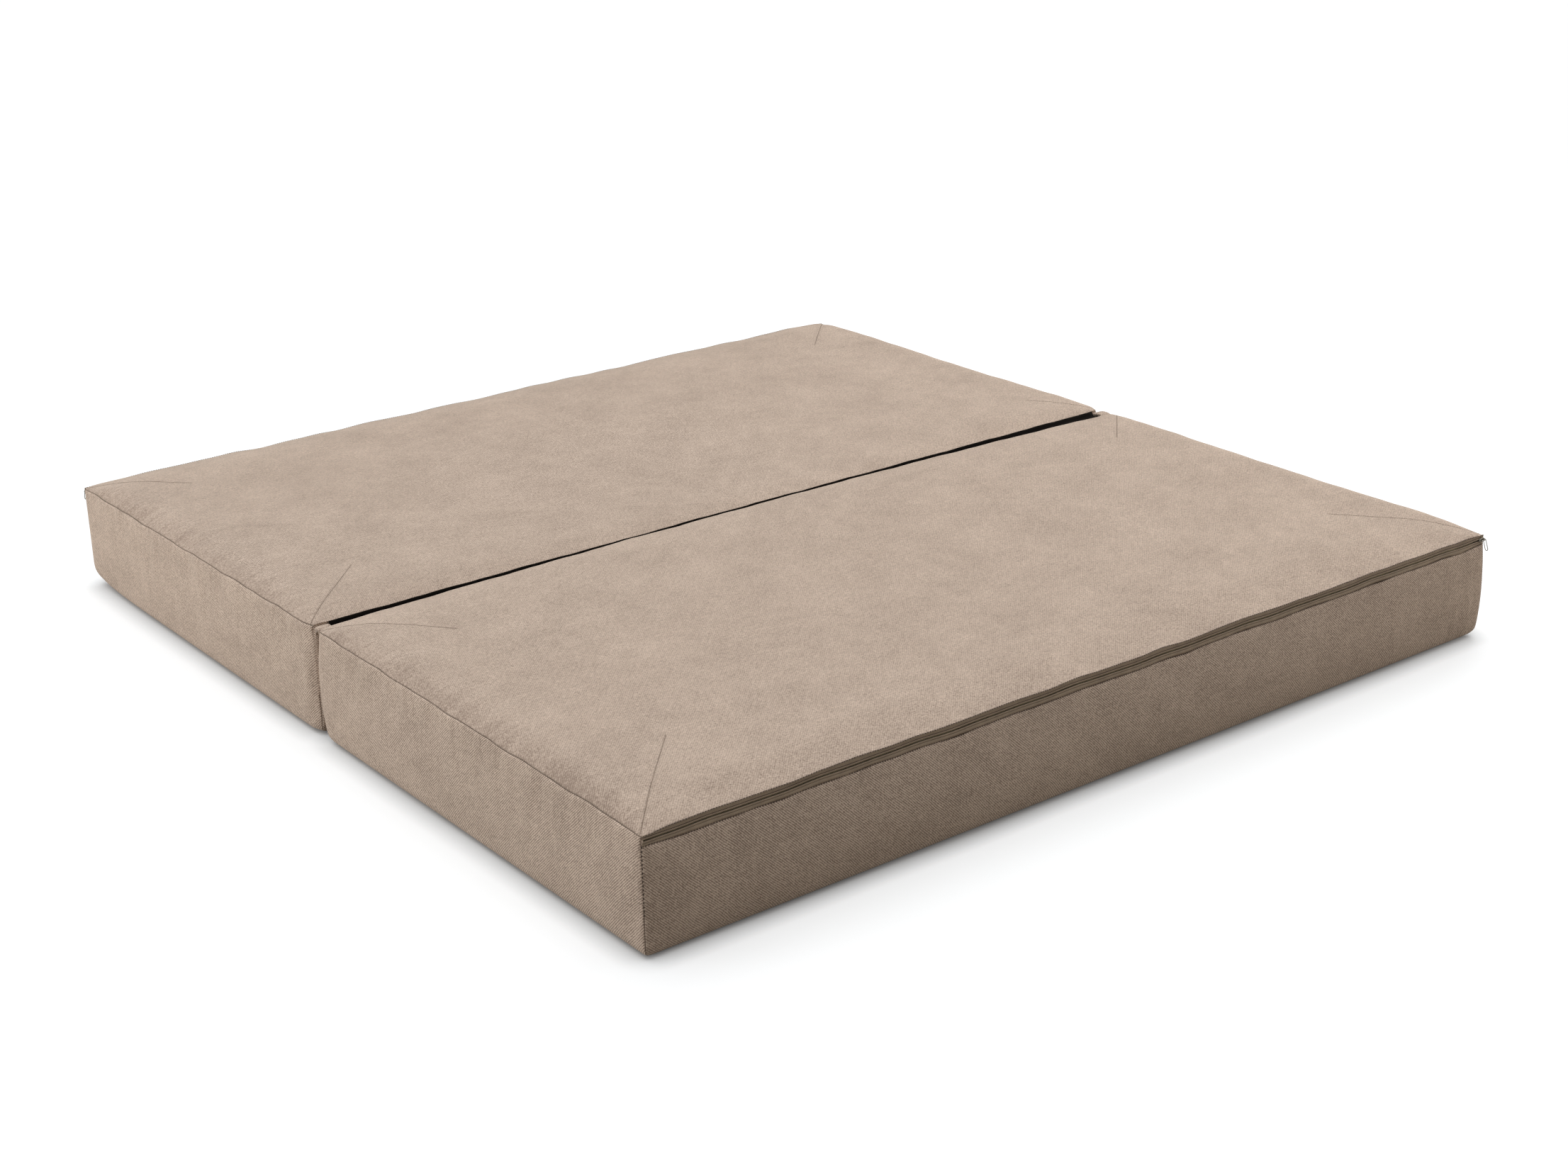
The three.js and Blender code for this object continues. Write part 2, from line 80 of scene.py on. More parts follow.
# The zip tape: half of its width along the side, and the less that shows of it at its ends.
TAPE_HALF = 13 * MM
TAPE_END_LEFT = 9 * MM
TAPE_END_RIGHT = 10 * MM
LOWER_TAPE_END = 10 * MM
TAPE_TAPER = 70 * MM
TAPE_END_INSET = 3 * MM
UPPER_TAPE_SHARE = 0.94
LOWER_TAPE_SHARE = 0.92
TAPE_THICKNESS = 0.7 * MM
TAPE_STATIONS = 260
ZIP_STRAIGHT_END = 90 * MM
ZIP_SEED = 3
TAPE_SEED = 5

# The tape's section, from the slot outward: shares of its half width, and how far each place stands out.
TAPE_SHARES = np.array([0.1, 0.13, 0.18, 0.26, 0.33, 0.37, 0.41, 0.45, 0.7, 1.0])
TAPE_RELIEF = np.array([-0.5, 0.2, 0.38, 0.4, 0.25, -0.5, -0.5, 0.1, 0.15, 0.0]) * MM
TAPE_FLAT_PLACES = 3
TAPE_SLOT_SHARE = 0.7
TAPE_GROOVE_SHARE = 0.37

# Heights of the seams and of the crown.
JOINT_CORNER_HEIGHT = 221 * MM
JOINT_ARCH = 7 * MM
END_ARCH = 10 * MM
CROWN_RISE = 9 * MM
CROWN_POWER = 6
PANEL_RISE = 2.3 * MM
FULL_HEIGHT = 236.3 * MM
EVEN_HEIGHT = 229 * MM

# The soft roll behind each end seam.
END_ROLL = 10 * MM
END_ROLL_WIDTH = 46 * MM
END_ROLL_POWER = 6
END_PUFF = 6 * MM
END_PUFF_LEAN = 0.5
END_PUFF_REACH = 45 * MM

# The gap between the cushions: nearly shut at one place, widest at the right end.
JOINT_HALF_GAP_MIDDLE = 3.6 * MM
JOINT_HALF_GAP_LEFT = 9.8 * MM
JOINT_HALF_GAP_RIGHT = 18.5 * MM
JOINT_BOW_POWER = 2.0
JOINT_PINCH = 2.2 * MM
JOINT_PINCH_PLACE = -0.33
JOINT_PINCH_WIDTH = 0.08
JOINT_BULGE = 20 * MM
JOINT_LEAN = 7 * MM
JOINT_CLEARANCE = 1.2 * MM

# How seams draw the cloth in: the depth at the seam, and the width over which it fades.
END_SINK = 3.4 * MM
END_SINK_WIDTH = 14 * MM
JOINT_SINK = (1.6 * MM, 9 * MM)
END_DRAW = (2.8 * MM, 6 * MM)
JOINT_DRAW = (1.2 * MM, 5 * MM)
END_WALL_DRAW = (2.6 * MM, 6 * MM)
JOINT_WALL_DRAW = (4.5 * MM, 22 * MM)
UPRIGHT_CORNER_DRAW = (1.8 * MM, 4 * MM)
DART_DEPTH = 1.8 * MM
DART_WIDTH = 17 * MM

# Small unevennesses of sewn cloth: wave lengths and heights in millimetres.
CROWN_WAVES = ((620, 0.9), (410, 0.8), (330, 0.6), (240, 0.4))
ZIP_WAVES = ((430, 0.7), (190, 0.7), (110, 0.4))
TAPE_WAVES = ((180, 0.5), (95, 0.4))
ZIP_EDGE_RISES = ((310, 0.5), (170, 0.5), (95, 0.35))
ZIP_EDGE_SWAYS = ((230, 0.5), (120, 0.4), (70, 0.3))
END_EDGE_WAVES = ((170, 1.2), (92, 1.0), (51, 0.7))
JOINT_EDGE_WAVES = ((190, 0.5), (80, 0.4), (46, 0.3))
LEDGE_WAVES = ((260, 0.5), (130, 0.4), (75, 0.3))
ZIP_WALL_WAVES = ((170, 0.5), (90, 0.5), (52, 0.4))
END_WALL_WAVES = ((150, 0.7), (64, 1.0), (40, 0.8))
WALL_WAVES = ((480, 0.9), (260, 0.7), (170, 0.5))
FRONT_SEED = 11
BACK_SEED = 31
LEFT_END_WAVE_SHARE = 0.9
RIGHT_END_WAVE_SHARE = 0.5

# How far those reach from their seam, and how far from a corner they start.
CROWN_FADE = 60 * MM
ZIP_EDGE_REACH = 22 * MM
ZIP_EDGE_FADE = 60 * MM
END_EDGE_REACH = 50 * MM
JOINT_EDGE_REACH = 30 * MM
EDGE_CORNER_FADE = 50 * MM
ZIP_WALL_REACH = 26 * MM
END_WALL_REACH = 45 * MM
WALL_CORNER_FADE = 60 * MM
WALL_SEAM_FADE = 50 * MM
RIPPLE_CORNER_FADE = 55 * MM
TAPE_CORNER_FADE = 60 * MM

# The cover's lattice: close lines beside each seam, wider ones between.
EDGE_LINES = np.array([0, 3, 8, 18, 32]) * MM
LATTICE_SPACING = 20 * MM
WALL_STEPS = 9
ARC_STEPS = 5
COVER_THICKNESS = 1.6 * MM

# The folded edge of the top cloth over the zip, at the first four edge lines.
FOLD_OUT = np.array([1.0, 2.2, 1.2, 0]) * MM
FOLD_DROP = np.array([2.8, 0.8, 0.1, 0]) * MM
FOLD_CORNER_FADE = 16 * MM

# The border's folded edge under the zip: how far it stands out at each drop from its top.
LEDGE_DROPS = np.array([0, 3, 8, 20, 70]) * MM
LEDGE_OUT = np.array([0.5, 3.0, 3.8, 2.9, 0]) * MM
LEDGE_CORNER_FADE = 12 * MM

# Distances from a seam that are written along the upright corners: beside the zip their seam shows as a
# painted dark line, partly painted shade of its groove and partly the darker stitching.
CORNER_SEAM_GAP = 0.85 * MM
PLAIN_CORNER_GAP = 5 * MM
CORNER_ROWS_PAST_SEAM = 4
BASE_SEAM_GAP = 1.0

# The cloth simulation that fills the cover, and the filling itself.
CLOTH_FRAMES = 16
CLOTH_TRAVEL = 4 * MM
FOAM_INSET = 7 * MM
FOAM_LIFT = 12.6 * MM
FOAM_THINNER = 27.6 * MM
UPPER_WADDING_DEPTHS = (2.3 * MM, 11.2 * MM)
LOWER_WADDING_HEIGHTS = (11.8 * MM, 2.2 * MM)

# Stitches: pitch, length and radius of the thread, in millimetres.
BOLD_CORNER_STITCH = (7, 4.4, 1.3)
FINE_CORNER_STITCH = (4.6, 3.4, 0.45)
EDGE_STITCH = (5.8, 3.4, 0.42)
DART_STITCH = (4.6, 3.4, 0.35)
ZIP_EDGE_STITCH = (5.2, 3.4, 0.8)
COIL_TURN = (2.4, 1.5, 0.74)
UPPER_TAPE_STITCH = (3, 2.6, 0.75)
LOWER_TAPE_STITCH = (3, 2.6, 0.4)
CORNER_STITCH_ROWS = slice(3, -8)
ZIP_STITCH_OUT = 0.5 * MM
LEDGE_STITCH_RISE = 0.4 * MM
DART_STEP = 4 * MM
DART_LIFT = 0.1 * MM
GROOVE_DEPTH = 0.35 * MM
COIL_END_INSET = 1.5 * MM
COIL_STATIONS = 200

# The zip's slider, in millimetres from its middle, and its pull.
PLATE_NARROW_END = 5.5
PLATE_NARROW_RADII = (2.0, 2.5)
PLATE_SHOULDER = ((-1.0, -3.7), (2.0, -4.0), (6.6, -4.0), (7.4, -3.2))
NECK_OUTLINE = ((0, -0.4), (5, -0.4), (5, 0.4), (0, 0.4))
PLATE_THICKNESS = 1.5 * MM
PLATE_GAP = 0.5 * MM
PLATE_EDGE = 0.35 * MM
FRONT_NECK_SEAT = 0.5 * MM
BACK_NECK_SEAT = 1.0 * MM
BAIL_PLACE = 2.5 * MM
BAIL_HALF_LENGTH = 4.0 * MM
BAIL_BEND = 1.4 * MM
BAIL_FOOT = 1.2 * MM
BAIL_RADIUS = 0.95 * MM
BAIL_HEIGHT = 1.0 * MM
PULL_LENGTH = 25 * MM
PULL_INNER_RADIUS = 2.3 * MM
PULL_WIRE_RADIUS = 0.75 * MM
PULL_LEAN = 20

# The hinge cloth and its two straps.
HINGE_STATIONS = 161
HINGE_PLACES = 17
HINGE_OVERHANG = 6 * MM
HINGE_THICKNESS = 0.9 * MM
HINGE_SAG = 10 * MM
HINGE_SAG_WAVES = ((0.6 * MM, 41), (0.4 * MM, 97))
HINGE_SEAM_TUCK = 0.2 * MM
HINGE_SEAM_DROP = 0.3 * MM
STRAP_STATIONS = 9
STRAP_ARCH_PLACES = 13
STRAP_FOOT_HEIGHTS = (201 * MM, 208 * MM)
STRAP_ARCH_FOOT = 215 * MM
STRAP_ARCH_RISE = 6.0 * MM
STRAP_EDGE_DIP = 1.1 * MM
STRAP_EDGE_REACH = 2.5 * MM
STRAP_THICKNESS = 2.2 * MM
STRAP_CLEARANCE = 1.2 * MM
RIGHT_STRAP_SHIFT = 5 * MM

# The camera, with its focal length and frame width in pixels.
CAMERA_PLACE = (-2.768, -3.696, 1.864)
CAMERA_AZIMUTH = 37.5
CAMERA_ELEVATION = 21.51
CAMERA_ROLL = -0.98
FOCAL_PIXELS = 3415
FRAME_PIXELS = 2212
SENSOR_WIDTH = 36

# The twill: its drawn rib spacing, and its mottling as patches per metre, detail and strength.
# The patches are about 140, 33, 8 and 3.5 mm wide: handling marks, brushing, nap and yarn.
TWILL_PITCH = 3.4 * MM
TWILL_MOTTLING = ((7.0, 4.0, 0.55), (30.0, 4.0, 0.42), (120.0, 3.0, 0.65), (290.0, 2.0, 1.65))
TWILL_ROUGHNESS = 0.62
TWILL_WAVER = 9 * MM
TWILL_WAVER_PER_METRE = 16.0
WEFT_SHARE = 0.5
WEAVE_HEIGHT = 0.16
MIDDLE_SHADE = 0.5
PUCKER_REACH = 170 * MM
PUCKER_HEIGHT = 9.0
# The dark line painted along seams and darts: partly painted shade of the seam's groove, partly the darker
# stitching.
SEAM_LINE_WIDTH = 0.9 * MM
SEAM_LINE_POWER = 2.0
GROOVE_WIDTH = 2.6 * SEAM_LINE_WIDTH
GROOVE_HEIGHT = 1.3
BUMP_DEPTH = 1.3 * MM
TAPE_RIB_PITCH = 1.6 * MM
TAPE_CROSS_PITCH = 3.0 * MM
TAPE_RIB_SHARE = 0.3
TAPE_RIB_CONTRAST = 0.12

# The floor and the world.
FLOOR_HALF_SIZE = 30.0
FLOOR_SHADE_REACH = 45 * MM
FLOOR_GLOW = 0.54
WORLD_STRENGTH = 0.19

MATH = "ShaderNodeMath"
VECTOR_MATH = "ShaderNodeVectorMath"
NOISE = "ShaderNodeTexNoise"
MIX = "ShaderNodeMix"


def waves(places, sizes, seed):
    """A smooth uneven line: a few sine waves with phases that follow from the seed."""
    phases = np.random.RandomState(seed).uniform(0, 2 * math.pi, len(sizes))
    return sum(height * MM * np.sin(2 * math.pi * places / (length * MM) + phase)
               for (length, height), phase in zip(sizes, phases))


def undulation(x, y, sizes, seed):
    """A smooth uneven surface, from crossing sine waves in seeded directions."""
    random = np.random.RandomState(seed)
    total = np.zeros_like(x)
    for length, height in sizes:
        angle, phase = random.uniform(0, 2 * math.pi, 2)
        along = x * math.cos(angle) + y * math.sin(angle)
        total += height * MM * np.sin(2 * math.pi * along / (length * MM) + phase)
    return total


def fade_in(distance, reach):
    """Grows from nothing at an edge to one at the reach."""
    return np.clip(distance / reach, 0, 1)


def fade_out(distance, reach):
    """Falls from one at an edge, by about two thirds over the reach."""
    return np.exp(-distance / reach)


def tape_half_height(x):
    """Height of the zip tape's upper half along the side, less at its two ends."""
    share = np.clip((HALF_LENGTH - np.abs(x) - TAPE_END_INSET) / (TAPE_TAPER - TAPE_END_INSET), 0, 1)
    end = np.where(x > 0, TAPE_END_RIGHT, TAPE_END_LEFT)
    return end + (TAPE_HALF - end) * share


def lower_tape_height(x):
    """Height of the zip tape's lower half, which narrows less at the corners than the upper half."""
    return np.maximum(tape_half_height(x), LOWER_TAPE_END)


def zip_waver(x):
    """How far the zip strays up and down from a straight line. It is straight again at both ends."""
    return fade_in(HALF_LENGTH - np.abs(x), ZIP_STRAIGHT_END) * waves(x, ZIP_WAVES, ZIP_SEED)


def joint_half_gap(u):
    """Half the gap between the cushions along the bed, with a pinch where they nearly touch."""
    end = np.where(u > 0, JOINT_HALF_GAP_RIGHT, JOINT_HALF_GAP_LEFT)
    pinch = JOINT_PINCH * np.exp(-((u - JOINT_PINCH_PLACE) / JOINT_PINCH_WIDTH) ** 2)
    return JOINT_HALF_GAP_MIDDLE + (end - JOINT_HALF_GAP_MIDDLE) * np.abs(u) ** JOINT_BOW_POWER - pinch


def joint_seam_height(u):
    return JOINT_CORNER_HEIGHT + JOINT_ARCH * (1 - u * u)


def end_seam_height(v, tape_end):
    low = ZIP_HEIGHT + tape_end
    return low + (JOINT_CORNER_HEIGHT - low) * (1 + v) / 2 + END_ARCH * (1 - np.abs(v) ** END_ROLL_POWER)


def top_height(u, v):
    """Height of the cover's top: the four seam lines carried inward and raised to the crown."""
    zip_share, joint_share = (1 - v) / 2, (1 + v) / 2
    height = zip_share * (ZIP_HEIGHT + tape_half_height(u * HALF_LENGTH)) + joint_share * joint_seam_height(u)
    for end_share, tape_end in (((1 - u) / 2, TAPE_END_LEFT), ((1 + u) / 2, TAPE_END_RIGHT)):
        corners = zip_share * end_seam_height(-1.0, tape_end) + joint_share * end_seam_height(1.0, tape_end)
        height = height + end_share * (end_seam_height(v, tape_end) - corners)
    crown = CROWN_RISE * (1 - np.abs(u) ** CROWN_POWER) * (1 - np.abs(v) ** CROWN_POWER)
    return height + crown + PANEL_RISE


def level_off(height):
    """Keeps the crown under the height at which the folded cushions would press into each other."""
    room = FULL_HEIGHT - EVEN_HEIGHT
    over = np.maximum(height - EVEN_HEIGHT, 0)
    return np.minimum(height, EVEN_HEIGHT) + room * np.tanh(over / room)


def swell(share):
    """How full a side is at a share of its height: flat at its two edges, fullest in the middle."""
    return np.maximum(0, np.sin(math.pi * np.clip(share, 0, 1))) ** BORDER_FULLNESS


def plan_place(u, v, inset, fullness, turn):
    """Place in plan of a point of the cover. The inset moves the sides inward and the swell moves them out.
    The turn is -1 for the back cushion, as its lattice is made in the front's place and turned later."""
    at_right = turn * u > 0
    right_bulge = RIGHT_END_BULGE * (1 - RIGHT_END_CORNER_LOSS * v ** BULGE_POWER)
    end_bulge = np.where(at_right, right_bulge, END_BULGE * (1 - v ** BULGE_POWER))
    x = u * (HALF_LENGTH - inset + end_bulge * fullness)
    corner_loss = np.where(at_right, RIGHT_BORDER_CORNER_LOSS, 1.0) * u ** BULGE_POWER
    zip_side = -DEPTH + inset - BORDER_BULGE * fullness * (1 - corner_loss)
    gap = joint_half_gap(turn * u)
    room = gap - JOINT_CLEARANCE + turn * JOINT_LEAN * fullness ** 2
    joint_side = -gap - inset + np.minimum(JOINT_BULGE * fullness ** 2, room)
    return x, zip_side + (joint_side - zip_side) * (1 + v) / 2


def seam_sink(distance, depth, width):
    """How far cloth is drawn in beside a seam, by its distance from the seam."""
    return depth * np.clip(1 - distance / width, 0, 1) ** 2


def lattice_lines(length):
    """Places of the lattice's lines along one side: close together at both ends, even between."""
    inner = length - 2 * EDGE_LINES[-1]
    count = round(inner / LATTICE_SPACING)
    middle = EDGE_LINES[-1] + inner * np.arange(1, count) / count
    return np.concatenate([EDGE_LINES, middle, length - EDGE_LINES[::-1]])


def rounded_shares(along, across, across_length, joint_radius):
    """Shares of lattice points, with the four upright corners of the cushion drawn round."""
    x, y = along - HALF_LENGTH, across
    from_end, from_zip, from_joint = HALF_LENGTH - np.abs(x), y, across_length - y
    move_x, move_y = np.zeros_like(x), np.zeros_like(y)
    for radius, depth, inward in ((ZIP_CORNER_RADIUS, from_zip, 1), (joint_radius, from_joint, -1)):
        end_share = np.clip(1 - from_end / radius, 0, 1)
        side_share = np.clip(1 - depth / radius, 0, 1)
        total = np.maximum(end_share + side_share, 1)
        for weight, other, on_end in ((end_share, side_share, True), (side_share, end_share, False)):
            angle = math.pi / 4 * other
            inset = radius * (1 - np.cos(angle)) * weight / total
            slide = (radius * (1 - np.sin(angle)) - radius * (1 - other)) * weight / total * (other > 0)
            move_x += inset if on_end else slide
            move_y += slide * inward if on_end else inset * inward
    u = (x - np.sign(x) * move_x) / HALF_LENGTH
    v = 2 * (y + move_y) / across_length - 1
    return u, v


# Each cushion's diagonal corner seams on its top, in plan: from near the corner to the inner end.
DARTS = {
    "front": (((-0.990, -1.020), (-0.880, -0.900), (-0.788, -0.800)),
              ((0.990, -1.020), (0.900, -0.905), (0.810, -0.795)),
              ((-0.988, -0.024), (-0.921, -0.072), (-0.869, -0.129), (-0.815, -0.200)),
              ((0.990, -0.036), (0.906, -0.119), (0.843, -0.182))),
    "back": (((0.990, 1.020), (0.900, 0.920), (0.805, 0.820)),
             ((-0.990, 1.020), (-0.900, 0.925), (-0.830, 0.850)),
             ((-0.988, 0.024), (-0.890, 0.120), (-0.806, 0.207)),
             ((0.988, 0.024), (0.930, 0.085), (0.880, 0.146))),
}


def plan_distance(x, y, line):
    """Distance in plan from each place to a line of short straight runs, up to one metre."""
    nearest = np.full(np.shape(x), 1.0)
    for (ax, ay), (bx, by) in zip(line, line[1:]):
        run_x, run_y = bx - ax, by - ay
        share = np.clip(((x - ax) * run_x + (y - ay) * run_y) / (run_x ** 2 + run_y ** 2), 0, 1)
        nearest = np.minimum(nearest, np.hypot(x - ax - share * run_x, y - ay - share * run_y))
    return nearest


class CoverLattice:
    """The cover of one cushion as one closed lattice, in the front cushion's place."""

    def __init__(self, side, seed):
        self.side = side
        self.seed = seed
        self.turn = -1 if side == "back" else 1
        self.across_length = DEPTH - JOINT_HALF_GAP_MIDDLE
        self.lines_along = lattice_lines(2 * HALF_LENGTH)
        self.lines_across = lattice_lines(self.across_length)
        self.last_i = len(self.lines_along) - 1
        self.last_j = len(self.lines_across) - 1
        self.points, self.faces, self.kinds, self.seam_gaps = [], [], [], []
        self.make_top()
        self.make_walls()
        self.make_base()
        self.vertices = np.array(self.points)

    def add_points(self, x, y, z, seam_gap):
        """Adds places, each with its distance from the nearest seam."""
        first = len(self.points)
        self.points.extend(zip(np.ravel(x), np.ravel(y), np.ravel(z)))
        self.seam_gaps.extend(np.ravel(seam_gap * np.ones_like(x)))
        return first + np.arange(np.size(x)).reshape(np.shape(x))

    def add_face(self, kind, *corners):
        """Adds a face of up to four corners. One that has shrunk to a line is left out."""
        if len(set(corners)) > 2:
            self.faces.append(tuple(dict.fromkeys(int(c) for c in corners)))
            self.kinds.append(kind)

    def make_top(self):
        """The crowned top, with seams drawn in, rippled edges, and corners pulled down along the darts."""
        along, across = np.meshgrid(self.lines_along, self.lines_across, indexing="ij")
        joint_radius = BACK_JOINT_CORNER_RADIUS if self.side == "back" else FRONT_JOINT_CORNER_RADIUS
        u, v = rounded_shares(along, across, self.across_length, joint_radius)
        self.u, self.v = u, v
        x, y = plan_place(u, v, 0, 0, self.turn)
        z = top_height(u, v)
        from_end = HALF_LENGTH - np.abs(along - HALF_LENGTH)
        from_zip, from_joint = across, self.across_length - across
        z += self.crown_shape(x, y, v, from_end, from_zip, from_joint)
        x -= np.sign(x) * seam_sink(from_end, *END_DRAW)
        y -= seam_sink(from_joint, *JOINT_DRAW)
        folded = fade_in(from_end, FOLD_CORNER_FADE)
        y -= folded * np.interp(from_zip, EDGE_LINES[:4], FOLD_OUT)
        z -= folded * np.interp(from_zip, EDGE_LINES[:4], FOLD_DROP)
        z += fade_out(from_zip, ZIP_EDGE_REACH) * zip_waver(x)
        near_zip = fade_out(from_zip, ZIP_EDGE_REACH) * fade_in(from_end, ZIP_EDGE_FADE)
        z += near_zip * waves(x, ZIP_EDGE_RISES, self.seed + 1)
        y += near_zip * waves(x, ZIP_EDGE_SWAYS, self.seed + 2)
        from_corner = np.minimum(from_zip, from_joint)
        near_end = fade_out(from_end, END_EDGE_REACH) * fade_in(from_corner, EDGE_CORNER_FADE)
        near_end *= np.where(self.turn * x < 0, LEFT_END_WAVE_SHARE, RIGHT_END_WAVE_SHARE)
        z += near_end * waves(y, END_EDGE_WAVES, self.seed + 3)
        near_joint = fade_out(from_joint, JOINT_EDGE_REACH) * fade_in(from_end, EDGE_CORNER_FADE)
        z += near_joint * waves(x, JOINT_EDGE_WAVES, self.seed + 4)
        for line in DARTS[self.side]:
            gap = plan_distance(x, y, [(self.turn * a, self.turn * b) for a, b in line])
            z -= DART_DEPTH * np.exp(-(gap / DART_WIDTH) ** 2)
        top = self.add_points(x, y, level_off(z), from_end)
        for i in range(self.last_i):
            for j in range(self.last_j):
                self.add_face("top", top[i, j], top[i + 1, j], top[i + 1, j + 1], top[i, j + 1])
        self.top = top

    def crown_shape(self, x, y, v, from_end, from_zip, from_joint):
        """What the filling adds to the top's height, less what its end and joint seams take."""
        edge_distance = np.minimum(from_end, np.minimum(from_zip, from_joint))
        uneven = fade_in(edge_distance, CROWN_FADE) * undulation(x, y, CROWN_WAVES, self.seed)
        rolled = 1 - np.abs(v) ** END_ROLL_POWER
        end_sink = seam_sink(from_end, END_SINK + END_ROLL * rolled, END_SINK_WIDTH + END_ROLL_WIDTH * rolled)
        puff = END_PUFF * rolled * (1 - END_PUFF_LEAN * v)
        puff = puff * from_end / END_PUFF_REACH * np.exp(1 - from_end / END_PUFF_REACH)
        return uneven - (end_sink + seam_sink(from_joint, *JOINT_SINK)) + puff

    def bottom_radius(self, along, across):
        """Radius of the bottom edge, which is softer at the back cushion's two corners beside its zip."""
        if self.side == "front":
            return BOTTOM_RADIUS + 0 * along
        from_end = HALF_LENGTH - np.abs(along - HALF_LENGTH)
        return BOTTOM_RADIUS + BACK_CORNER_SOFTENING * np.exp(-np.hypot(from_end, across) / BACK_CORNER_REACH)

    def edge_columns(self):
        """Lattice places round the edge, anticlockwise seen from above, each with the side that it is on."""
        last_i, last_j = self.last_i, self.last_j
        loop = [(i, 0, "zip") for i in range(last_i)] + [(last_i, j, "end") for j in range(last_j)]
        loop += [(i, last_j, "joint") for i in range(last_i, 0, -1)]
        loop += [(0, j, "end") for j in range(last_j, 0, -1)]
        return loop

    def column(self, i, j, side):
        """Points of one wall column, from its seam down to the flat base."""
        u, v = self.u[i, j], self.v[i, j]
        seam = np.array(self.points[self.top[i, j]])
        from_end = min(self.lines_along[i], 2 * HALF_LENGTH - self.lines_along[i])
        from_side = min(self.lines_across[j], self.across_length - self.lines_across[j])
        from_corner = from_side if side == "end" else from_end
        on_zip = side == "zip" and from_corner > 0
        place = seam[1:2] if side == "end" else seam[0:1]
        quiet = min(from_corner / RIPPLE_CORNER_FADE, 1)
        seam_height = seam[2]
        if on_zip:
            uneven = waves(place, LEDGE_WAVES, self.seed + 5)[0]
            tape = lower_tape_height(seam[0]) * LOWER_TAPE_SHARE
            seam_height = ZIP_HEIGHT + zip_waver(seam[0]) - tape + uneven * quiet
        radius = float(self.bottom_radius(self.lines_along[i], self.lines_across[j]))
        lower = np.linspace(seam_height - EDGE_LINES[3], radius, WALL_STEPS + 1)[1:]
        heights = np.concatenate([seam_height - EDGE_LINES[:4], lower])
        drops = seam_height - heights
        x, y = plan_place(u, v, 0, swell(heights / seam_height), self.turn)
        x, y = x * np.ones_like(heights), y * np.ones_like(heights)
        out = self.wall_relief(side, on_zip, place, drops, heights, from_corner, quiet)
        diagonal = math.sqrt(0.5)
        out_x = {"end": 1.0, "zip": 0.0, "joint": 0.0}[side] if from_corner else diagonal
        out_y = {"end": 0.0, "zip": -1.0, "joint": 1.0}[side] if from_corner else math.copysign(diagonal, v)
        x += math.copysign(1, u) * out_x * out
        y += out_y * out
        angles = np.linspace(math.pi / 2, 0, ARC_STEPS + 1)[1:]
        arc_heights = radius * (1 - np.cos(angles))
        arc_inset = radius * (1 - np.sin(angles))
        arc_swell = swell(arc_heights / seam_height) * np.sin(angles)
        arc_x, arc_y = plan_place(u, v, arc_inset, arc_swell, self.turn)
        xs, ys = np.concatenate([x, arc_x]), np.concatenate([y, arc_y])
        zs = np.concatenate([heights, arc_heights])
        gaps = np.full(len(zs), from_corner)
        if on_zip:
            return self.add_points(xs, ys, zs, gaps)
        if side == "end" or from_corner == 0:
            gaps[:len(drops)] = np.minimum(drops, from_corner)
        if from_corner == 0:
            gaps[1:len(drops) - CORNER_ROWS_PAST_SEAM] = CORNER_SEAM_GAP if j == 0 else PLAIN_CORNER_GAP
        return np.concatenate([[self.top[i, j]], self.add_points(xs[1:], ys[1:], zs[1:], gaps[1:])])

    def wall_relief(self, side, on_zip, place, drops, heights, from_corner, quiet):
        """How far each point of a wall column stands out, from its seams, its ripples and a slow waver."""
        out = np.zeros_like(heights)
        if on_zip:
            out += np.interp(drops, LEDGE_DROPS, LEDGE_OUT) * min(from_corner / LEDGE_CORNER_FADE, 1)
            ripple = waves(place, ZIP_WALL_WAVES, self.seed + 6)[0]
            out += ripple * fade_out(drops, ZIP_WALL_REACH) * quiet
        else:
            out -= seam_sink(drops, *(END_WALL_DRAW if side == "end" else JOINT_WALL_DRAW))
            ripple = waves(place, END_WALL_WAVES, self.seed + 7)[0]
            out += ripple * fade_out(drops, END_WALL_REACH) * quiet * (side == "end")
        out -= seam_sink(from_corner, *UPRIGHT_CORNER_DRAW)
        face = undulation(place + 0 * heights, heights, WALL_WAVES, self.seed + 8)
        out += face * min(from_corner / WALL_CORNER_FADE, 1) * fade_in(drops, WALL_SEAM_FADE)
        return out

    def make_walls(self):
        """The four sides, and the strip behind the zip tape."""
        columns = self.edge_columns()
        made = [self.column(*place) for place in columns]
        self.walls = dict(zip([(i, j) for i, j, _ in columns], made))
        for k, (i, j, side) in enumerate(columns):
            here, after = made[k], made[(k + 1) % len(made)]
            next_i, next_j, _ = columns[(k + 1) % len(made)]
            end = "right_end" if i > 0 else "left_end"
            kind = {"zip": "zip_side", "joint": "joint_side", "end": end}[side]
            for row in range(len(here) - 1):
                self.add_face(kind, here[row + 1], after[row + 1], after[row], here[row])
            if side == "zip":
                self.add_face("tape", here[0], after[0], self.top[next_i, next_j], self.top[i, j])

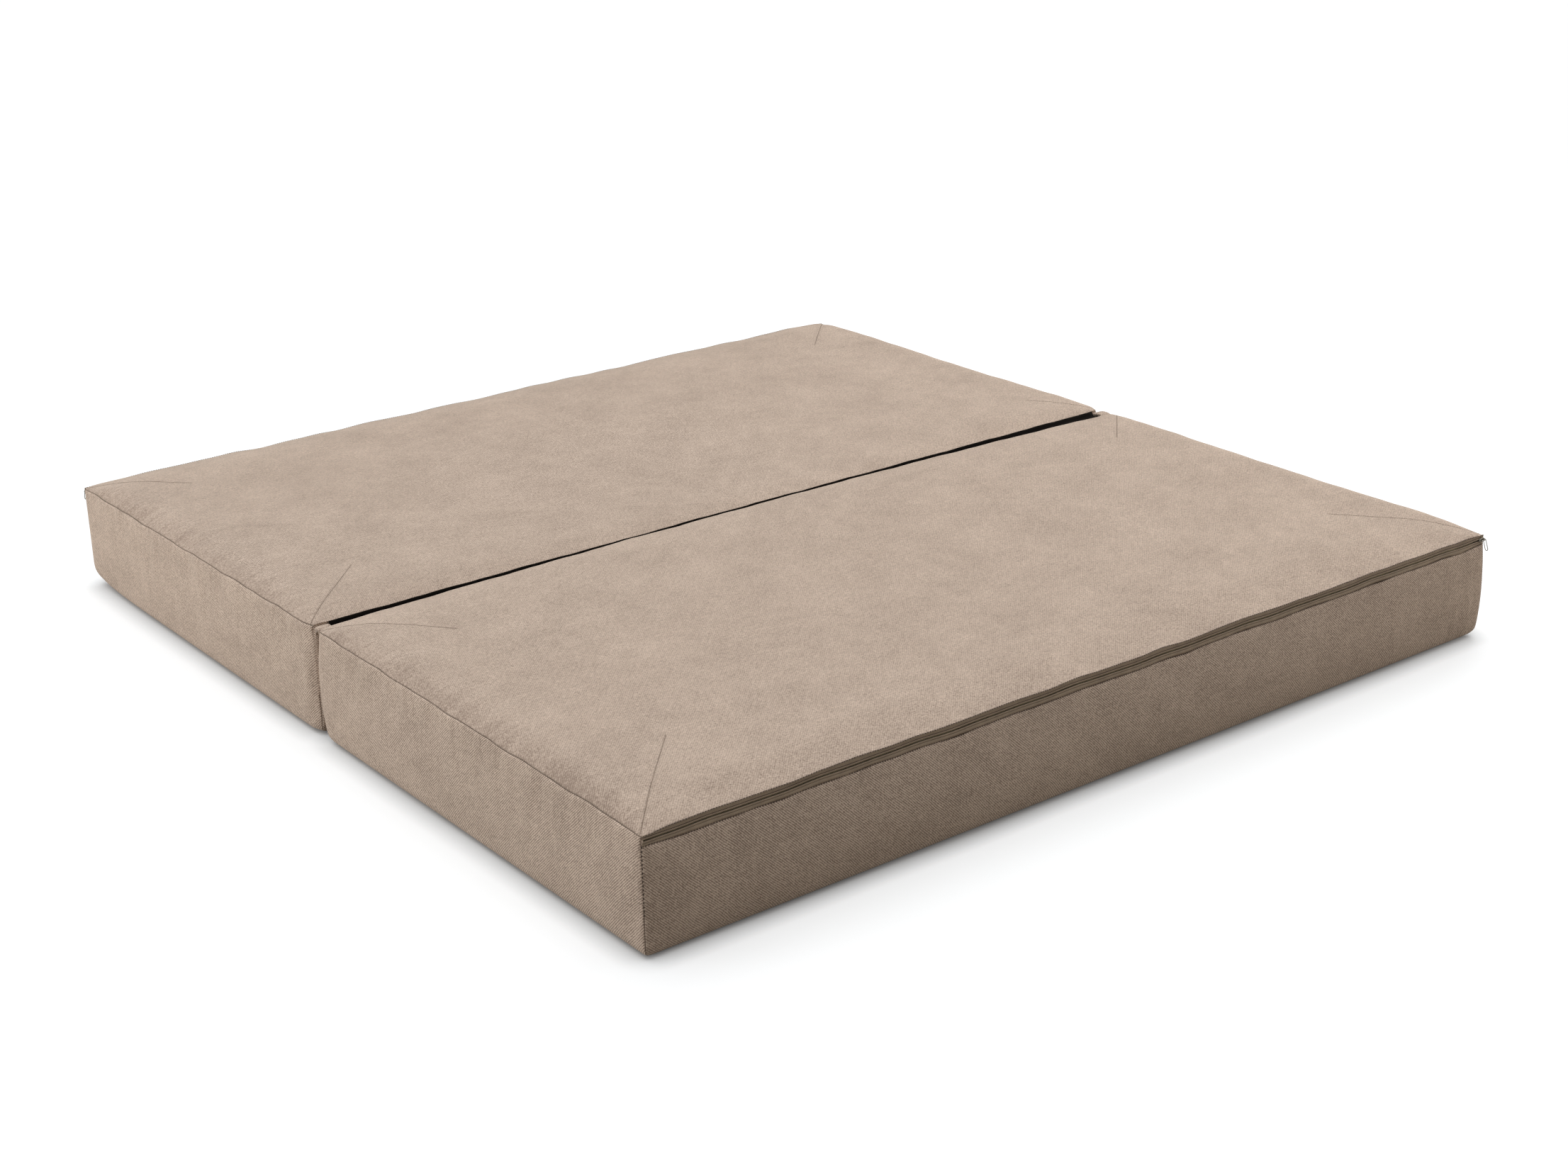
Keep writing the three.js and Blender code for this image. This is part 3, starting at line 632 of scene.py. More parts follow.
    def make_base(self):
        """The flat base, which hangs together with the last row of every wall column."""
        base = np.zeros((self.last_i + 1, self.last_j + 1), int)
        u, v = self.u[1:-1, 1:-1], self.v[1:-1, 1:-1]
        along, across = np.meshgrid(self.lines_along[1:-1], self.lines_across[1:-1], indexing="ij")
        x, y = plan_place(u, v, self.bottom_radius(along, across), 0, self.turn)
        base[1:-1, 1:-1] = self.add_points(x, y, np.zeros_like(x), BASE_SEAM_GAP)
        for (i, j), column in self.walls.items():
            base[i, j] = column[-1]
        for i in range(self.last_i):
            for j in range(self.last_j):
                self.add_face("base", base[i, j], base[i, j + 1], base[i + 1, j + 1], base[i + 1, j])
        self.base = base

    def pinned(self):
        """Points that the seams, the zip and the floor hold still."""
        held = set(self.base.ravel()) | {k for c in self.walls.values() for k in (c[0], *c[-ARC_STEPS - 1:])}
        held |= set(self.top[0]) | set(self.top[-1]) | set(self.top[:, 0]) | set(self.top[:, -1])
        return sorted(int(k) for k in held)


def hex_colour(text):
    """Turns an sRGB hex colour into linear red, green, blue and alpha."""
    parts = [int(text[k:k + 2], 16) / 255 for k in (1, 3, 5)]
    return tuple(p / 12.92 if p <= 0.04045 else ((p + 0.055) / 1.055) ** 2.4 for p in parts) + (1.0,)


def node(tree, kind, inputs=None, **settings):
    """Adds a node. An input given as a socket, or as a node for its first output, is linked to it,
    and any other becomes its value."""
    made = tree.nodes.new(kind)
    for name, value in settings.items():
        setattr(made, name, value)
    for name, value in (inputs or {}).items():
        if isinstance(value, bpy.types.Node):
            value = value.outputs[0]
        if isinstance(value, bpy.types.NodeSocket):
            tree.links.new(value, made.inputs[name])
        else:
            made.inputs[name].default_value = value
    return made


def empty_material(name):
    material = bpy.data.materials.new(name)
    material.use_nodes = True
    material.node_tree.nodes.clear()
    return material, material.node_tree


def seam_distance(tree, cloth, start, end):
    """Distance from a point of the cloth to a seam between two places on it."""
    start, end = Vector((*start, 0)), Vector((*end, 0))
    run = end - start
    offset = node(tree, VECTOR_MATH, {0: cloth, 1: start}, operation="SUBTRACT")
    along = node(tree, VECTOR_MATH, {0: offset, 1: run}, operation="DOT_PRODUCT").outputs["Value"]
    share = node(tree, MATH, {0: along, 1: run.length_squared}, operation="DIVIDE", use_clamp=True)
    foot = node(tree, VECTOR_MATH, {0: run, "Scale": share}, operation="SCALE")
    gap = node(tree, VECTOR_MATH, {0: offset, 1: foot}, operation="SUBTRACT")
    return node(tree, VECTOR_MATH, {0: gap}, operation="LENGTH").outputs["Value"]


def dart_distance(tree, cloth, darts):
    """Distance from a point of the cloth to the nearest of the diagonal corner seams."""
    nearest = None
    for line in darts:
        for start, end in zip(line, line[1:]):
            gap = seam_distance(tree, cloth, start, end)
            if nearest is not None:
                gap = node(tree, MATH, {0: nearest, 1: gap}, operation="MINIMUM")
            nearest = gap
    return nearest


def twill_weave(tree, cloth, across, along):
    """The twill's slanting ribs with the finer weft across them, both a little uneven."""
    wobble = node(tree, NOISE, {"Vector": cloth, "Scale": TWILL_WAVER_PER_METRE, "Detail": 2.0})
    turn = 2 * math.pi / TWILL_PITCH
    slant = node(tree, MATH, {0: across, 1: along}, operation="ADD")
    waver = node(tree, MATH, {0: wobble, 1: TWILL_WAVER}, operation="MULTIPLY")
    bias = node(tree, MATH, {0: slant, 1: waver}, operation="ADD")
    rib_phase = node(tree, MATH, {0: bias, 1: math.sqrt(0.5) * turn}, operation="MULTIPLY")
    ribs = node(tree, MATH, {0: rib_phase}, operation="SINE")
    counter = node(tree, MATH, {0: across, 1: along}, operation="SUBTRACT")
    weft_phase = node(tree, MATH, {0: counter, 1: turn}, operation="MULTIPLY")
    weft = node(tree, MATH, {0: weft_phase}, operation="SINE")
    return node(tree, MATH, {0: weft, 1: WEFT_SHARE, 2: ribs}, operation="MULTIPLY_ADD")


def brushed_twill(name, contrast, rib_contrast, pucker, slope_shade=0.0, darts=()):
    """Brushed cotton and polyester twill: a soft brushed pile over fine slanting ribs, mottled in long faint
    patches.
    The real cloth's ribs are about 3 mm apart, and are drawn a little wider so that a render shows them.
    Pucker gives the steps per metre of the faint folds beside a seam, across and along the cloth. Shade is
    painted by the way the surface faces: a slope facing -X is painted darker and one facing +X lighter, and
    slope_shade says how strongly."""
    material, tree = empty_material(name)
    cloth = node(tree, "ShaderNodeUVMap", uv_map="cloth").outputs["UV"]
    parts = node(tree, "ShaderNodeSeparateXYZ", {0: cloth})
    weave = twill_weave(tree, cloth, parts.outputs["X"], parts.outputs["Y"])
    shade = node(tree, MATH, {0: weave, 1: rib_contrast}, operation="MULTIPLY")
    for scale, detail, strength in TWILL_MOTTLING:
        patches = {"Vector": cloth, "Scale": scale, "Detail": detail, "Roughness": TWILL_ROUGHNESS}
        grain = node(tree, NOISE, patches)
        reach = {0: grain, 1: strength * contrast, 2: -strength * contrast / 2}
        offset = node(tree, MATH, reach, operation="MULTIPLY_ADD")
        shade = node(tree, MATH, {0: shade, 1: offset}, operation="ADD")
    # Painted shade: the colour is darkened where the surface faces -X and lightened where it faces +X.
    facing_out = node(tree, "ShaderNodeNewGeometry").outputs["Normal"]
    slope = node(tree, "ShaderNodeSeparateXYZ", {0: facing_out}).outputs["X"]
    shade = node(tree, MATH, {0: slope, 1: slope_shade, 2: shade}, operation="MULTIPLY_ADD")
    share = node(tree, MATH, {0: shade, 1: MIDDLE_SHADE}, operation="ADD", use_clamp=True)
    shades = {"Factor": share, "A": hex_colour("#8f7d70"), "B": hex_colour("#d8c4b3")}
    colour = node(tree, MIX, shades, data_type="RGBA").outputs["Result"]
    height = node(tree, MATH, {0: weave, 1: WEAVE_HEIGHT, 2: grain}, operation="MULTIPLY_ADD")
    seam = node(tree, "ShaderNodeAttribute", attribute_name="seam_gap").outputs["Fac"]
    stretched = node(tree, VECTOR_MATH, {0: cloth, 1: (*pucker, 1.0)}, operation="MULTIPLY")
    folds = node(tree, NOISE, {"Vector": stretched, "Scale": 1.0, "Detail": 2.0})
    from_seam = node(tree, MATH, {0: seam, 1: PUCKER_REACH}, operation="DIVIDE", use_clamp=True)
    near_seam = node(tree, MATH, {0: 1.0, 1: from_seam}, operation="SUBTRACT")
    creases = node(tree, MATH, {0: folds, 1: near_seam}, operation="MULTIPLY")
    height = node(tree, MATH, {0: creases, 1: PUCKER_HEIGHT, 2: height}, operation="MULTIPLY_ADD")
    # A dark line is painted along each seam and dart: partly painted shade of the seam's groove, partly the
    # darker stitching.
    lines = [(seam, "#66564a")]
    if darts:
        lines.append((dart_distance(tree, cloth, darts), "#8a786a"))
    for gap, line_colour in lines:
        from_line = node(tree, MATH, {0: gap, 1: SEAM_LINE_WIDTH}, operation="DIVIDE", use_clamp=True)
        clear = node(tree, MATH, {0: from_line, 1: SEAM_LINE_POWER}, operation="POWER")
        shades = {"Factor": clear, "A": hex_colour(line_colour), "B": colour}
        colour = node(tree, MIX, shades, data_type="RGBA").outputs["Result"]
        groove = node(tree, MATH, {0: gap, 1: GROOVE_WIDTH}, operation="DIVIDE", use_clamp=True)
        height = node(tree, MATH, {0: groove, 1: GROOVE_HEIGHT, 2: height}, operation="MULTIPLY_ADD")
    bump = node(tree, "ShaderNodeBump", {"Height": height, "Strength": 0.8, "Distance": BUMP_DEPTH})
    surface = node(tree, "ShaderNodeBsdfPrincipled", {
        "Base Color": colour, "Normal": bump, "Roughness": 0.95, "Specular IOR Level": 0.15,
        "Sheen Weight": 0.5, "Sheen Roughness": 0.5, "Sheen Tint": hex_colour("#f3e6d8")})
    node(tree, "ShaderNodeOutputMaterial", {"Surface": surface})
    return material


def woven_tape():
    """Polyester zip tape: a smooth ribbed weave, darker and a little glossier than the cover."""
    material, tree = empty_material("woven_polyester_zip_tape")
    place = node(tree, "ShaderNodeTexCoord").outputs["Object"]
    parts = node(tree, "ShaderNodeSeparateXYZ", {0: place})
    waved = []
    for axis, pitch in (("Z", TAPE_RIB_PITCH), ("X", TAPE_CROSS_PITCH)):
        phase = node(tree, MATH, {0: parts.outputs[axis], 1: 2 * math.pi / pitch}, operation="MULTIPLY")
        waved.append(node(tree, MATH, {0: phase}, operation="SINE"))
    weave = node(tree, MATH, {0: waved[0], 1: TAPE_RIB_SHARE, 2: waved[1]}, operation="MULTIPLY_ADD")
    mottle = node(tree, NOISE, {"Vector": place, "Scale": 60.0, "Detail": 3.0})
    faint_weave = node(tree, MATH, {0: weave, 1: TAPE_RIB_CONTRAST}, operation="MULTIPLY")
    share = node(tree, MATH, {0: faint_weave, 1: mottle}, operation="ADD", use_clamp=True)
    shades = {"Factor": share, "A": hex_colour("#7f7060"), "B": hex_colour("#a8957f")}
    colour = node(tree, MIX, shades, data_type="RGBA").outputs["Result"]
    bump = node(tree, "ShaderNodeBump", {"Height": weave, "Strength": 0.4, "Distance": 0.15 * MM})
    surface = node(tree, "ShaderNodeBsdfPrincipled", {"Base Color": colour, "Normal": bump, "Roughness": 0.7})
    node(tree, "ShaderNodeOutputMaterial", {"Surface": surface})
    return material


def plain_material(name, dark, light, noise_scale, roughness, metallic=0.0, shine=0.5,
                   bump_distance=0.1 * MM):
    """One of the small finishes: two close colours mottled by noise, with a fine bump."""
    material, tree = empty_material(name)
    place = node(tree, "ShaderNodeTexCoord").outputs["Object"]
    noise = node(tree, NOISE, {"Vector": place, "Scale": noise_scale, "Detail": 4.0})
    shades = {"Factor": noise, "A": hex_colour(dark), "B": hex_colour(light)}
    colour = node(tree, MIX, shades, data_type="RGBA").outputs["Result"]
    bump = node(tree, "ShaderNodeBump", {"Height": noise, "Strength": 0.3, "Distance": bump_distance})
    surface = node(tree, "ShaderNodeBsdfPrincipled", {
        "Base Color": colour, "Normal": bump, "Roughness": roughness, "Metallic": metallic,
        "Specular IOR Level": shine})
    node(tree, "ShaderNodeOutputMaterial", {"Surface": surface})
    return material


def darts_on_cloth(side):
    """The corner seams of one top in the cloth's own coordinates."""
    return [[(x, -y) for x, y in line] for line in DARTS[side]]


def make_looks():
    """Every material of the bed. A small finish has two colours, patches per metre and a roughness."""
    soft_top = {"contrast": 1.05, "rib_contrast": 0.13, "pucker": (7, 26), "slope_shade": 0.5}
    return {
        # Brushed twill, warm grey and matt: soft and mottled on the tops, with painted shade on their slopes
        # facing -X, and clearer ribs on the sides.
        "front_top": brushed_twill("brushed_twill_front_top", darts=darts_on_cloth("front"), **soft_top),
        "back_top": brushed_twill("brushed_twill_back_top", darts=darts_on_cloth("back"), **soft_top),
        "cover": brushed_twill("brushed_twill_cover", contrast=1.5, rib_contrast=0.46, pucker=(26, 7)),
        # Polyester tape: flat and tight, a little darker than the cover.
        "tape": woven_tape(),
        # Nickel plated zinc casting and wire: a grey metal, bright only where it mirrors the studio.
        "metal": plain_material("nickel_plated_zinc", "#807e77", "#a3a098", 400, 0.3, metallic=1.0,
                                bump_distance=0.02 * MM),
        # Wound nylon line: smooth and dark, with a dull shine.
        "coil": plain_material("nylon_zip_coil", "#4e453d", "#665b51", 900, 0.45),
        # Twisted polyester thread: matt, and darker than the cloth that it sinks into.
        "thread": plain_material("dark_polyester_thread", "#33281f", "#514135", 1500, 0.7),
        "pale_thread": plain_material("brown_polyester_thread", "#67574a", "#85735f", 1500, 0.8),
        # Woven polypropylene: black, and so matt that the valley shows no highlight.
        "hinge": plain_material("black_woven_polypropylene", "#0b0806", "#14100c", 700, 1.0, shine=0.1),
        # Cut foam: a pale cream with open cells.
        "foam": plain_material("cut_polyurethane_foam", "#e2d5a8", "#f0e6c4", 900, 0.95,
                               bump_distance=0.5 * MM),
        # Carded fibre: white and downy.
        "wadding": plain_material("polyester_wadding", "#ecebe6", "#fbfaf6", 260, 0.97,
                                  bump_distance=0.8 * MM),
    }


def new_object(name, vertices, faces, material=None):
    mesh = bpy.data.meshes.new(name)
    mesh.from_pydata([tuple(v) for v in vertices], [], faces)
    mesh.validate()
    if material:
        mesh.materials.append(material)
    mesh.polygons.foreach_set("use_smooth", [True] * len(mesh.polygons))
    piece = bpy.data.objects.new(name, mesh)
    bpy.context.scene.collection.objects.link(piece)
    return piece


def bake_modifiers(piece):
    """Turns a piece with its modifiers into one plain mesh."""
    bpy.context.view_layer.update()
    graph = bpy.context.evaluated_depsgraph_get()
    finished = piece.evaluated_get(graph)
    mesh = bpy.data.meshes.new_from_object(finished, preserve_all_data_layers=True, depsgraph=graph)
    piece.modifiers.clear()
    old = piece.data
    piece.data = mesh
    mesh.name = piece.name
    bpy.data.meshes.remove(old)


def soften(piece):
    """Adds one level of subdivision to a piece."""
    smooth = piece.modifiers.new("Smooth", "SUBSURF")
    smooth.levels = smooth.render_levels = 1


def add_seam_gaps(piece, gaps):
    """Writes each point's distance from the nearest seam, for the twill to read."""
    layer = piece.data.attributes.new("seam_gap", "FLOAT", "POINT")
    layer.data.foreach_set("value", np.array(gaps, dtype=np.float32))


def add_cloth_places(piece, places):
    """Writes the cloth's own coordinates, one place for each corner of each face."""
    layer = piece.data.uv_layers.new(name="cloth")
    layer.data.foreach_set("uv", np.array(places, dtype=float).ravel())


def turn_faces_outward(piece, merge_distance=None):
    """Makes a closed mesh's faces point outward, after merging doubled points where a distance is given."""
    tidy = bmesh.new()
    tidy.from_mesh(piece.data)
    if merge_distance:
        bmesh.ops.remove_doubles(tidy, verts=tidy.verts, dist=merge_distance)
    bmesh.ops.recalc_face_normals(tidy, faces=tidy.faces)
    tidy.to_mesh(piece.data)
    tidy.free()


# The cloth's own coordinates on each side of a cushion, so that the ribs run on from one side to the next.
CLOTH_PLACES = {
    "top": lambda p: (p[0], -p[1]),
    "base": lambda p: (p[0], -p[1]),
    "facing_front": lambda p: (p[0], p[2]),
    "facing_back": lambda p: (p[0], -p[2]),
    "facing_left": lambda p: (p[1], p[2]),
    "facing_right": lambda p: (-p[1], p[2]),
}


def facing(kind, turned):
    """The way that a side of the cushion faces in the whole bed."""
    ways = {"zip_side": "facing_front", "joint_side": "facing_back",
            "left_end": "facing_left", "right_end": "facing_right"}
    opposite = {"facing_front": "facing_back", "facing_back": "facing_front",
                "facing_left": "facing_right", "facing_right": "facing_left"}
    way = ways.get(kind, kind)
    return opposite.get(way, way) if turned else way


def cover_part(name, lattice, vertices, kinds, turned, material):
    """Takes some sides of the lattice as their own cloth shell, with cloth coordinates and a thickness."""
    chosen = [k for k, kind in enumerate(lattice.kinds) if kind in kinds]
    used = sorted({v for k in chosen for v in lattice.faces[k]})
    index = {v: n for n, v in enumerate(used)}
    faces = [tuple(index[v] for v in lattice.faces[k]) for k in chosen]
    piece = new_object(name, vertices[used], faces, material)
    places = []
    for k in chosen:
        to_cloth = CLOTH_PLACES[facing(lattice.kinds[k], turned)]
        places.extend(to_cloth(vertices[v]) for v in lattice.faces[k])
    add_cloth_places(piece, places)
    add_seam_gaps(piece, np.array(lattice.seam_gaps)[used])
    soften(piece)
    wall = piece.modifiers.new("Cloth thickness", "SOLIDIFY")
    wall.thickness = COVER_THICKNESS
    wall.offset = -1
    bake_modifiers(piece)
    return piece


def fill_with_cloth(lattice, vertices, name):
    """Lets the cover swell over its filling: pinned at its seams, pressed out a little, its travel capped."""
    body = new_object(name, vertices, lattice.faces)
    pins = body.vertex_groups.new(name="held")
    pins.add(lattice.pinned(), 1.0, "REPLACE")
    cloth = body.modifiers.new("Cloth", "CLOTH")
    settings = cloth.settings
    settings.quality = 4
    settings.mass = 0.35
    settings.tension_stiffness = settings.compression_stiffness = 25
    settings.shear_stiffness = 8
    settings.bending_stiffness = 1.5
    settings.use_pressure = True
    settings.uniform_pressure_force = 1.2
    settings.vertex_group_mass = pins.name
    settings.effector_weights.gravity = 0
    cloth.point_cache.frame_start = 1
    cloth.point_cache.frame_end = CLOTH_FRAMES
    for step in range(1, CLOTH_FRAMES + 1):
        bpy.context.scene.frame_set(step)
    graph = bpy.context.evaluated_depsgraph_get()
    swollen = body.evaluated_get(graph).to_mesh()
    places = np.empty(len(swollen.vertices) * 3)
    swollen.vertices.foreach_get("co", places)
    body.evaluated_get(graph).to_mesh_clear()
    bpy.context.scene.frame_set(1)
    mesh = body.data
    bpy.data.objects.remove(body)
    bpy.data.meshes.remove(mesh)
    move = places.reshape(-1, 3) - vertices
    reach = np.linalg.norm(move, axis=1, keepdims=True)
    move *= np.minimum(1, CLOTH_TRAVEL / np.maximum(reach, 1e-9))
    settled = vertices + move
    settled[:, 2] = level_off(settled[:, 2])
    return settled


def turned_half(vertices):
    """Turns places half round, from the front cushion to the back one or the other way."""
    return vertices * np.array([-1, -1, 1])


def loft(name, rings, material, close_ends=True):
    """A solid through equal closed rings of points."""
    count = len(rings[0])
    vertices = [p for ring in rings for p in ring]
    faces = []
    for r in range(len(rings) - 1):
        for k in range(count):
            after = (k + 1) % count
            faces.append((r * count + k, r * count + after, (r + 1) * count + after, (r + 1) * count + k))
    if close_ends:
        faces.append(tuple(reversed(range(count))))
        faces.append(tuple((len(rings) - 1) * count + k for k in range(count)))
    piece = new_object(name, vertices, faces, material)
    turn_faces_outward(piece)
    return piece


def zip_tape(name, side, turned, seed, material):
    """One half of the zip tape: a rolled edge over its coil, a deep sewn groove, and a flat edge.
    The roll and the groove keep their distance from the slot, and the flat edge takes up the taper."""
    stations = np.linspace(-HALF_LENGTH + TAPE_END_INSET, HALF_LENGTH - TAPE_END_INSET, TAPE_STATIONS)
    rings = []
    for x in stations:
        half = float(tape_half_height(x) * UPPER_TAPE_SHARE if side > 0 else lower_tape_height(x))
        away = np.maximum(TAPE_SHARES * TAPE_HALF, ZIP_SLOT / 2 * (TAPE_SLOT_SHARE + TAPE_SHARES))
        away[-TAPE_FLAT_PLACES:] = np.linspace(away[-TAPE_FLAT_PLACES], half, TAPE_FLAT_PLACES)
        quiet = min((HALF_LENGTH - abs(x)) / TAPE_CORNER_FADE, 1)
        lean = float(waves(np.array([x]), TAPE_WAVES, seed)[0]) * quiet
        y = -DEPTH - TAPE_RELIEF - lean * TAPE_SHARES ** 3
        z = ZIP_HEIGHT + zip_waver(x) + side * away
        front = [(x, a, b) for a, b in zip(y, z)]
        back = [(x, a + TAPE_THICKNESS, b) for a, b in zip(y, z)]
        ring = np.array(front + back[::-1])
        rings.append(turned_half(ring) if turned else ring)
    return loft(name, rings, material)


def tube(name, places, radius, material, closed=False, sides=10):
    """A round wire through a list of places."""
    places = [Vector(p) for p in places]
    count = len(places)
    rings = []
    for k, place in enumerate(places):
        before = places[k - 1] if closed or k else place
        after = places[(k + 1) % count] if closed or k < count - 1 else place
        along = (after - before).normalized()
        reference = Vector((1, 0, 0)) if abs(along.x) < 0.9 else Vector((0, 0, 1))
        first = along.cross(reference).normalized()
        second = along.cross(first)
        turn = [2 * math.pi * s / sides for s in range(sides)]
        rings.append([place + radius * (first * math.cos(a) + second * math.sin(a)) for a in turn])
    if closed:
        rings.append(rings[0])
    piece = loft(name, rings, material, close_ends=not closed)
    if closed:
        turn_faces_outward(piece, merge_distance=1e-6)
    return piece


def joined(name, pieces):
    """Joins finished pieces into one, keeping their materials."""
    with bpy.context.temp_override(active_object=pieces[0], selected_editable_objects=pieces):
        bpy.ops.object.join()
    pieces[0].name = name
    pieces[0].data.name = name
    return pieces[0]


def rounded_plate(name, outline, low_y, high_y, material):
    """A small cast plate drawn in X and Z, with softened edges."""
    rings = [[(x, y, z) for x, z in outline] for y in (low_y, high_y)]
    plate = loft(name, rings, material)
    plate.data.polygons.foreach_set("use_smooth", [False] * len(plate.data.polygons))
    edge = plate.modifiers.new("Soft edges", "BEVEL")
    edge.width = PLATE_EDGE
    edge.segments = 2
    edge.limit_method = "ANGLE"
    bake_modifiers(plate)
    return plate


def plate_outline():
    """The slider's outline in millimetres: a rounded narrow end, then two shoulders at its wide end."""
    points = []
    radius_x, radius_z = PLATE_NARROW_RADII
    for k in range(9):
        angle = math.pi / 2 + math.pi * k / 8
        points.append((-PLATE_NARROW_END + radius_x * math.cos(angle), radius_z * math.sin(angle)))
    return points + [*PLATE_SHOULDER] + [(x, -z) for x, z in reversed(PLATE_SHOULDER)]


def zip_slider(name, material):
    """The slider: two plates that hold the tape, the neck that joins them, and the bail in front."""
    low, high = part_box("front_zip_slider")
    centre_x = (low[0] + high[0]) / 2
    outline, neck_outline = ([(centre_x + x * MM, ZIP_HEIGHT + z * MM) for x, z in shape]
                             for shape in (plate_outline(), NECK_OUTLINE))
    bail_y, plate_y = low[1] + BAIL_HEIGHT, -DEPTH - PLATE_GAP
    front = rounded_plate(name, outline, plate_y - PLATE_THICKNESS, plate_y, material)
    back = rounded_plate(name + "_back", outline, high[1] - PLATE_THICKNESS, high[1], material)
    neck = rounded_plate(name + "_neck", neck_outline, plate_y - FRONT_NECK_SEAT, high[1] - BACK_NECK_SEAT,
                         material)
    bail_x = centre_x + BAIL_PLACE
    arch = [(bail_x - BAIL_HALF_LENGTH, plate_y - BAIL_FOOT, ZIP_HEIGHT)]
    for k in range(7):
        angle = math.pi * k / 12
        bend_x, bend_y = BAIL_BEND * (1 - math.cos(angle)), BAIL_BEND * (1 - math.sin(angle))
        arch.append((bail_x - BAIL_HALF_LENGTH + bend_x, bail_y + bend_y, ZIP_HEIGHT))
    arch += [(2 * bail_x - x, y, z) for x, y, z in reversed(arch)]
    bail = tube(name + "_bail", arch, BAIL_RADIUS, material)
    return joined(name, [front, back, neck, bail])


def zip_pull(name, material):
    """A long wire ring round the slider's bail, leaning out over the border."""
    low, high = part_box("front_zip_pull")
    centre_x = (low[0] + high[0]) / 2
    hinge_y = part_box("front_zip_slider")[0][1] + BAIL_HEIGHT
    radius = PULL_INNER_RADIUS + PULL_WIRE_RADIUS
    lower = -(PULL_LENGTH - 2 * (radius + PULL_WIRE_RADIUS))
    lean = math.radians(PULL_LEAN)
    places = []
    for centre, start in ((0.0, 0.0), (lower, math.pi)):
        for k in range(11):
            angle = start + math.pi * k / 10
            across, down = radius * math.cos(angle), centre + radius * math.sin(angle)
            y = across * math.cos(lean) + down * math.sin(lean)
            z = down * math.cos(lean) - across * math.sin(lean)
            places.append((centre_x, hinge_y + y, ZIP_HEIGHT + z))
    return tube(name, places, PULL_WIRE_RADIUS, material, closed=True, sides=12)


def stitch_tree():
    """Geometry nodes that lay short thread stitches along lines."""
    tree = bpy.data.node_groups.new("Stitches along a seam", "GeometryNodeTree")
    interface = tree.interface
    interface.new_socket("Geometry", in_out="INPUT", socket_type="NodeSocketGeometry")
    for label in ("Pitch", "Stitch length", "Thread radius"):
        interface.new_socket(label, in_out="INPUT", socket_type="NodeSocketFloat")
    interface.new_socket("Thread", in_out="INPUT", socket_type="NodeSocketMaterial")
    interface.new_socket("Geometry", in_out="OUTPUT", socket_type="NodeSocketGeometry")
    given = node(tree, "NodeGroupInput").outputs
    curve = node(tree, "GeometryNodeMeshToCurve", {"Mesh": given["Geometry"]})
    steps = {"Curve": curve, "Length": given["Pitch"]}
    spaced = node(tree, "GeometryNodeResampleCurve", steps, mode="LENGTH")
    half = node(tree, MATH, {0: given["Stitch length"], 1: 0.5}, operation="MULTIPLY")
    thread = node(tree, "GeometryNodeMeshUVSphere", {"Segments": 6, "Rings": 5, "Radius": 1.0})
    radius = given["Thread radius"]
    size = node(tree, "ShaderNodeCombineXYZ", {"X": radius, "Y": radius, "Z": half})
    shaped = node(tree, "GeometryNodeTransform", {"Geometry": thread, "Scale": size})
    tangent = node(tree, "GeometryNodeInputTangent")
    aim = node(tree, "FunctionNodeAlignRotationToVector", {"Vector": tangent}, axis="Z")
    laid = node(tree, "GeometryNodeInstanceOnPoints", {"Points": spaced, "Instance": shaped, "Rotation": aim})
    real = node(tree, "GeometryNodeRealizeInstances", {"Geometry": laid})
    dyed = node(tree, "GeometryNodeSetMaterial", {"Geometry": real, "Material": given["Thread"]})
    node(tree, "NodeGroupOutput", {"Geometry": dyed})
    return tree


def sew(name, lines, tree, thread, stitch):
    """Sews thread along lines of places, as one piece."""
    vertices, edges = [], []
    for line in lines:
        first = len(vertices)
        vertices.extend(tuple(p) for p in line)
        edges.extend((first + k, first + k + 1) for k in range(len(line) - 1))
    mesh = bpy.data.meshes.new(name)
    mesh.from_pydata(vertices, edges, [])
    piece = bpy.data.objects.new(name, mesh)
    bpy.context.scene.collection.objects.link(piece)
    sewing = piece.modifiers.new("Sewing", "NODES")
    sewing.node_group = tree
    pitch, length, radius = (size * MM for size in stitch)
    values = {"Pitch": pitch, "Stitch length": length, "Thread radius": radius, "Thread": thread}
    for item in tree.interface.items_tree:
        if item.in_out == "INPUT" and item.name in values:
            sewing[item.identifier] = values[item.name]
    bake_modifiers(piece)
    return piece


def line_on_surface(piece, line, step, lift):
    """Places along a line drawn in plan, laid on a piece from above."""
    mesh = piece.data
    tree = BVHTree.FromPolygons([v.co for v in mesh.vertices], [p.vertices for p in mesh.polygons])
    places = []
    for start, end in zip(line, line[1:]):
        count = max(2, round(math.dist(start, end) / step))
        for k in range(count):
            x, y = (a + (b - a) * (k / count) for a, b in zip(start, end))
            hit = tree.ray_cast(Vector((x, y, 1.0)), Vector((0, 0, -1)))[0]
            if hit is not None:
                places.append((x, y, hit.z + lift))
    return places


def grid_slab(name, upper, lower, material):
    """A closed slab between two equal grids of places."""
    rows, columns = upper.shape[:2]
    count = rows * columns
    index = np.arange(count).reshape(rows, columns)
    faces = []
    for i in range(rows - 1):
        for j in range(columns - 1):
            a, b, c, d = index[i, j], index[i + 1, j], index[i + 1, j + 1], index[i, j + 1]
            faces.append((a, b, c, d))
            faces.append((count + d, count + c, count + b, count + a))
    edge = [*index[:-1, 0], *index[-1, :-1], *index[:0:-1, -1], *index[0, :0:-1]]
    for k, here in enumerate(edge):
        after = edge[(k + 1) % len(edge)]
        faces.append((after, here, count + here, count + after))
    vertices = np.concatenate([upper.reshape(-1, 3), lower.reshape(-1, 3)])
    return new_object(name, vertices, [tuple(int(v) for v in f) for f in faces], material)


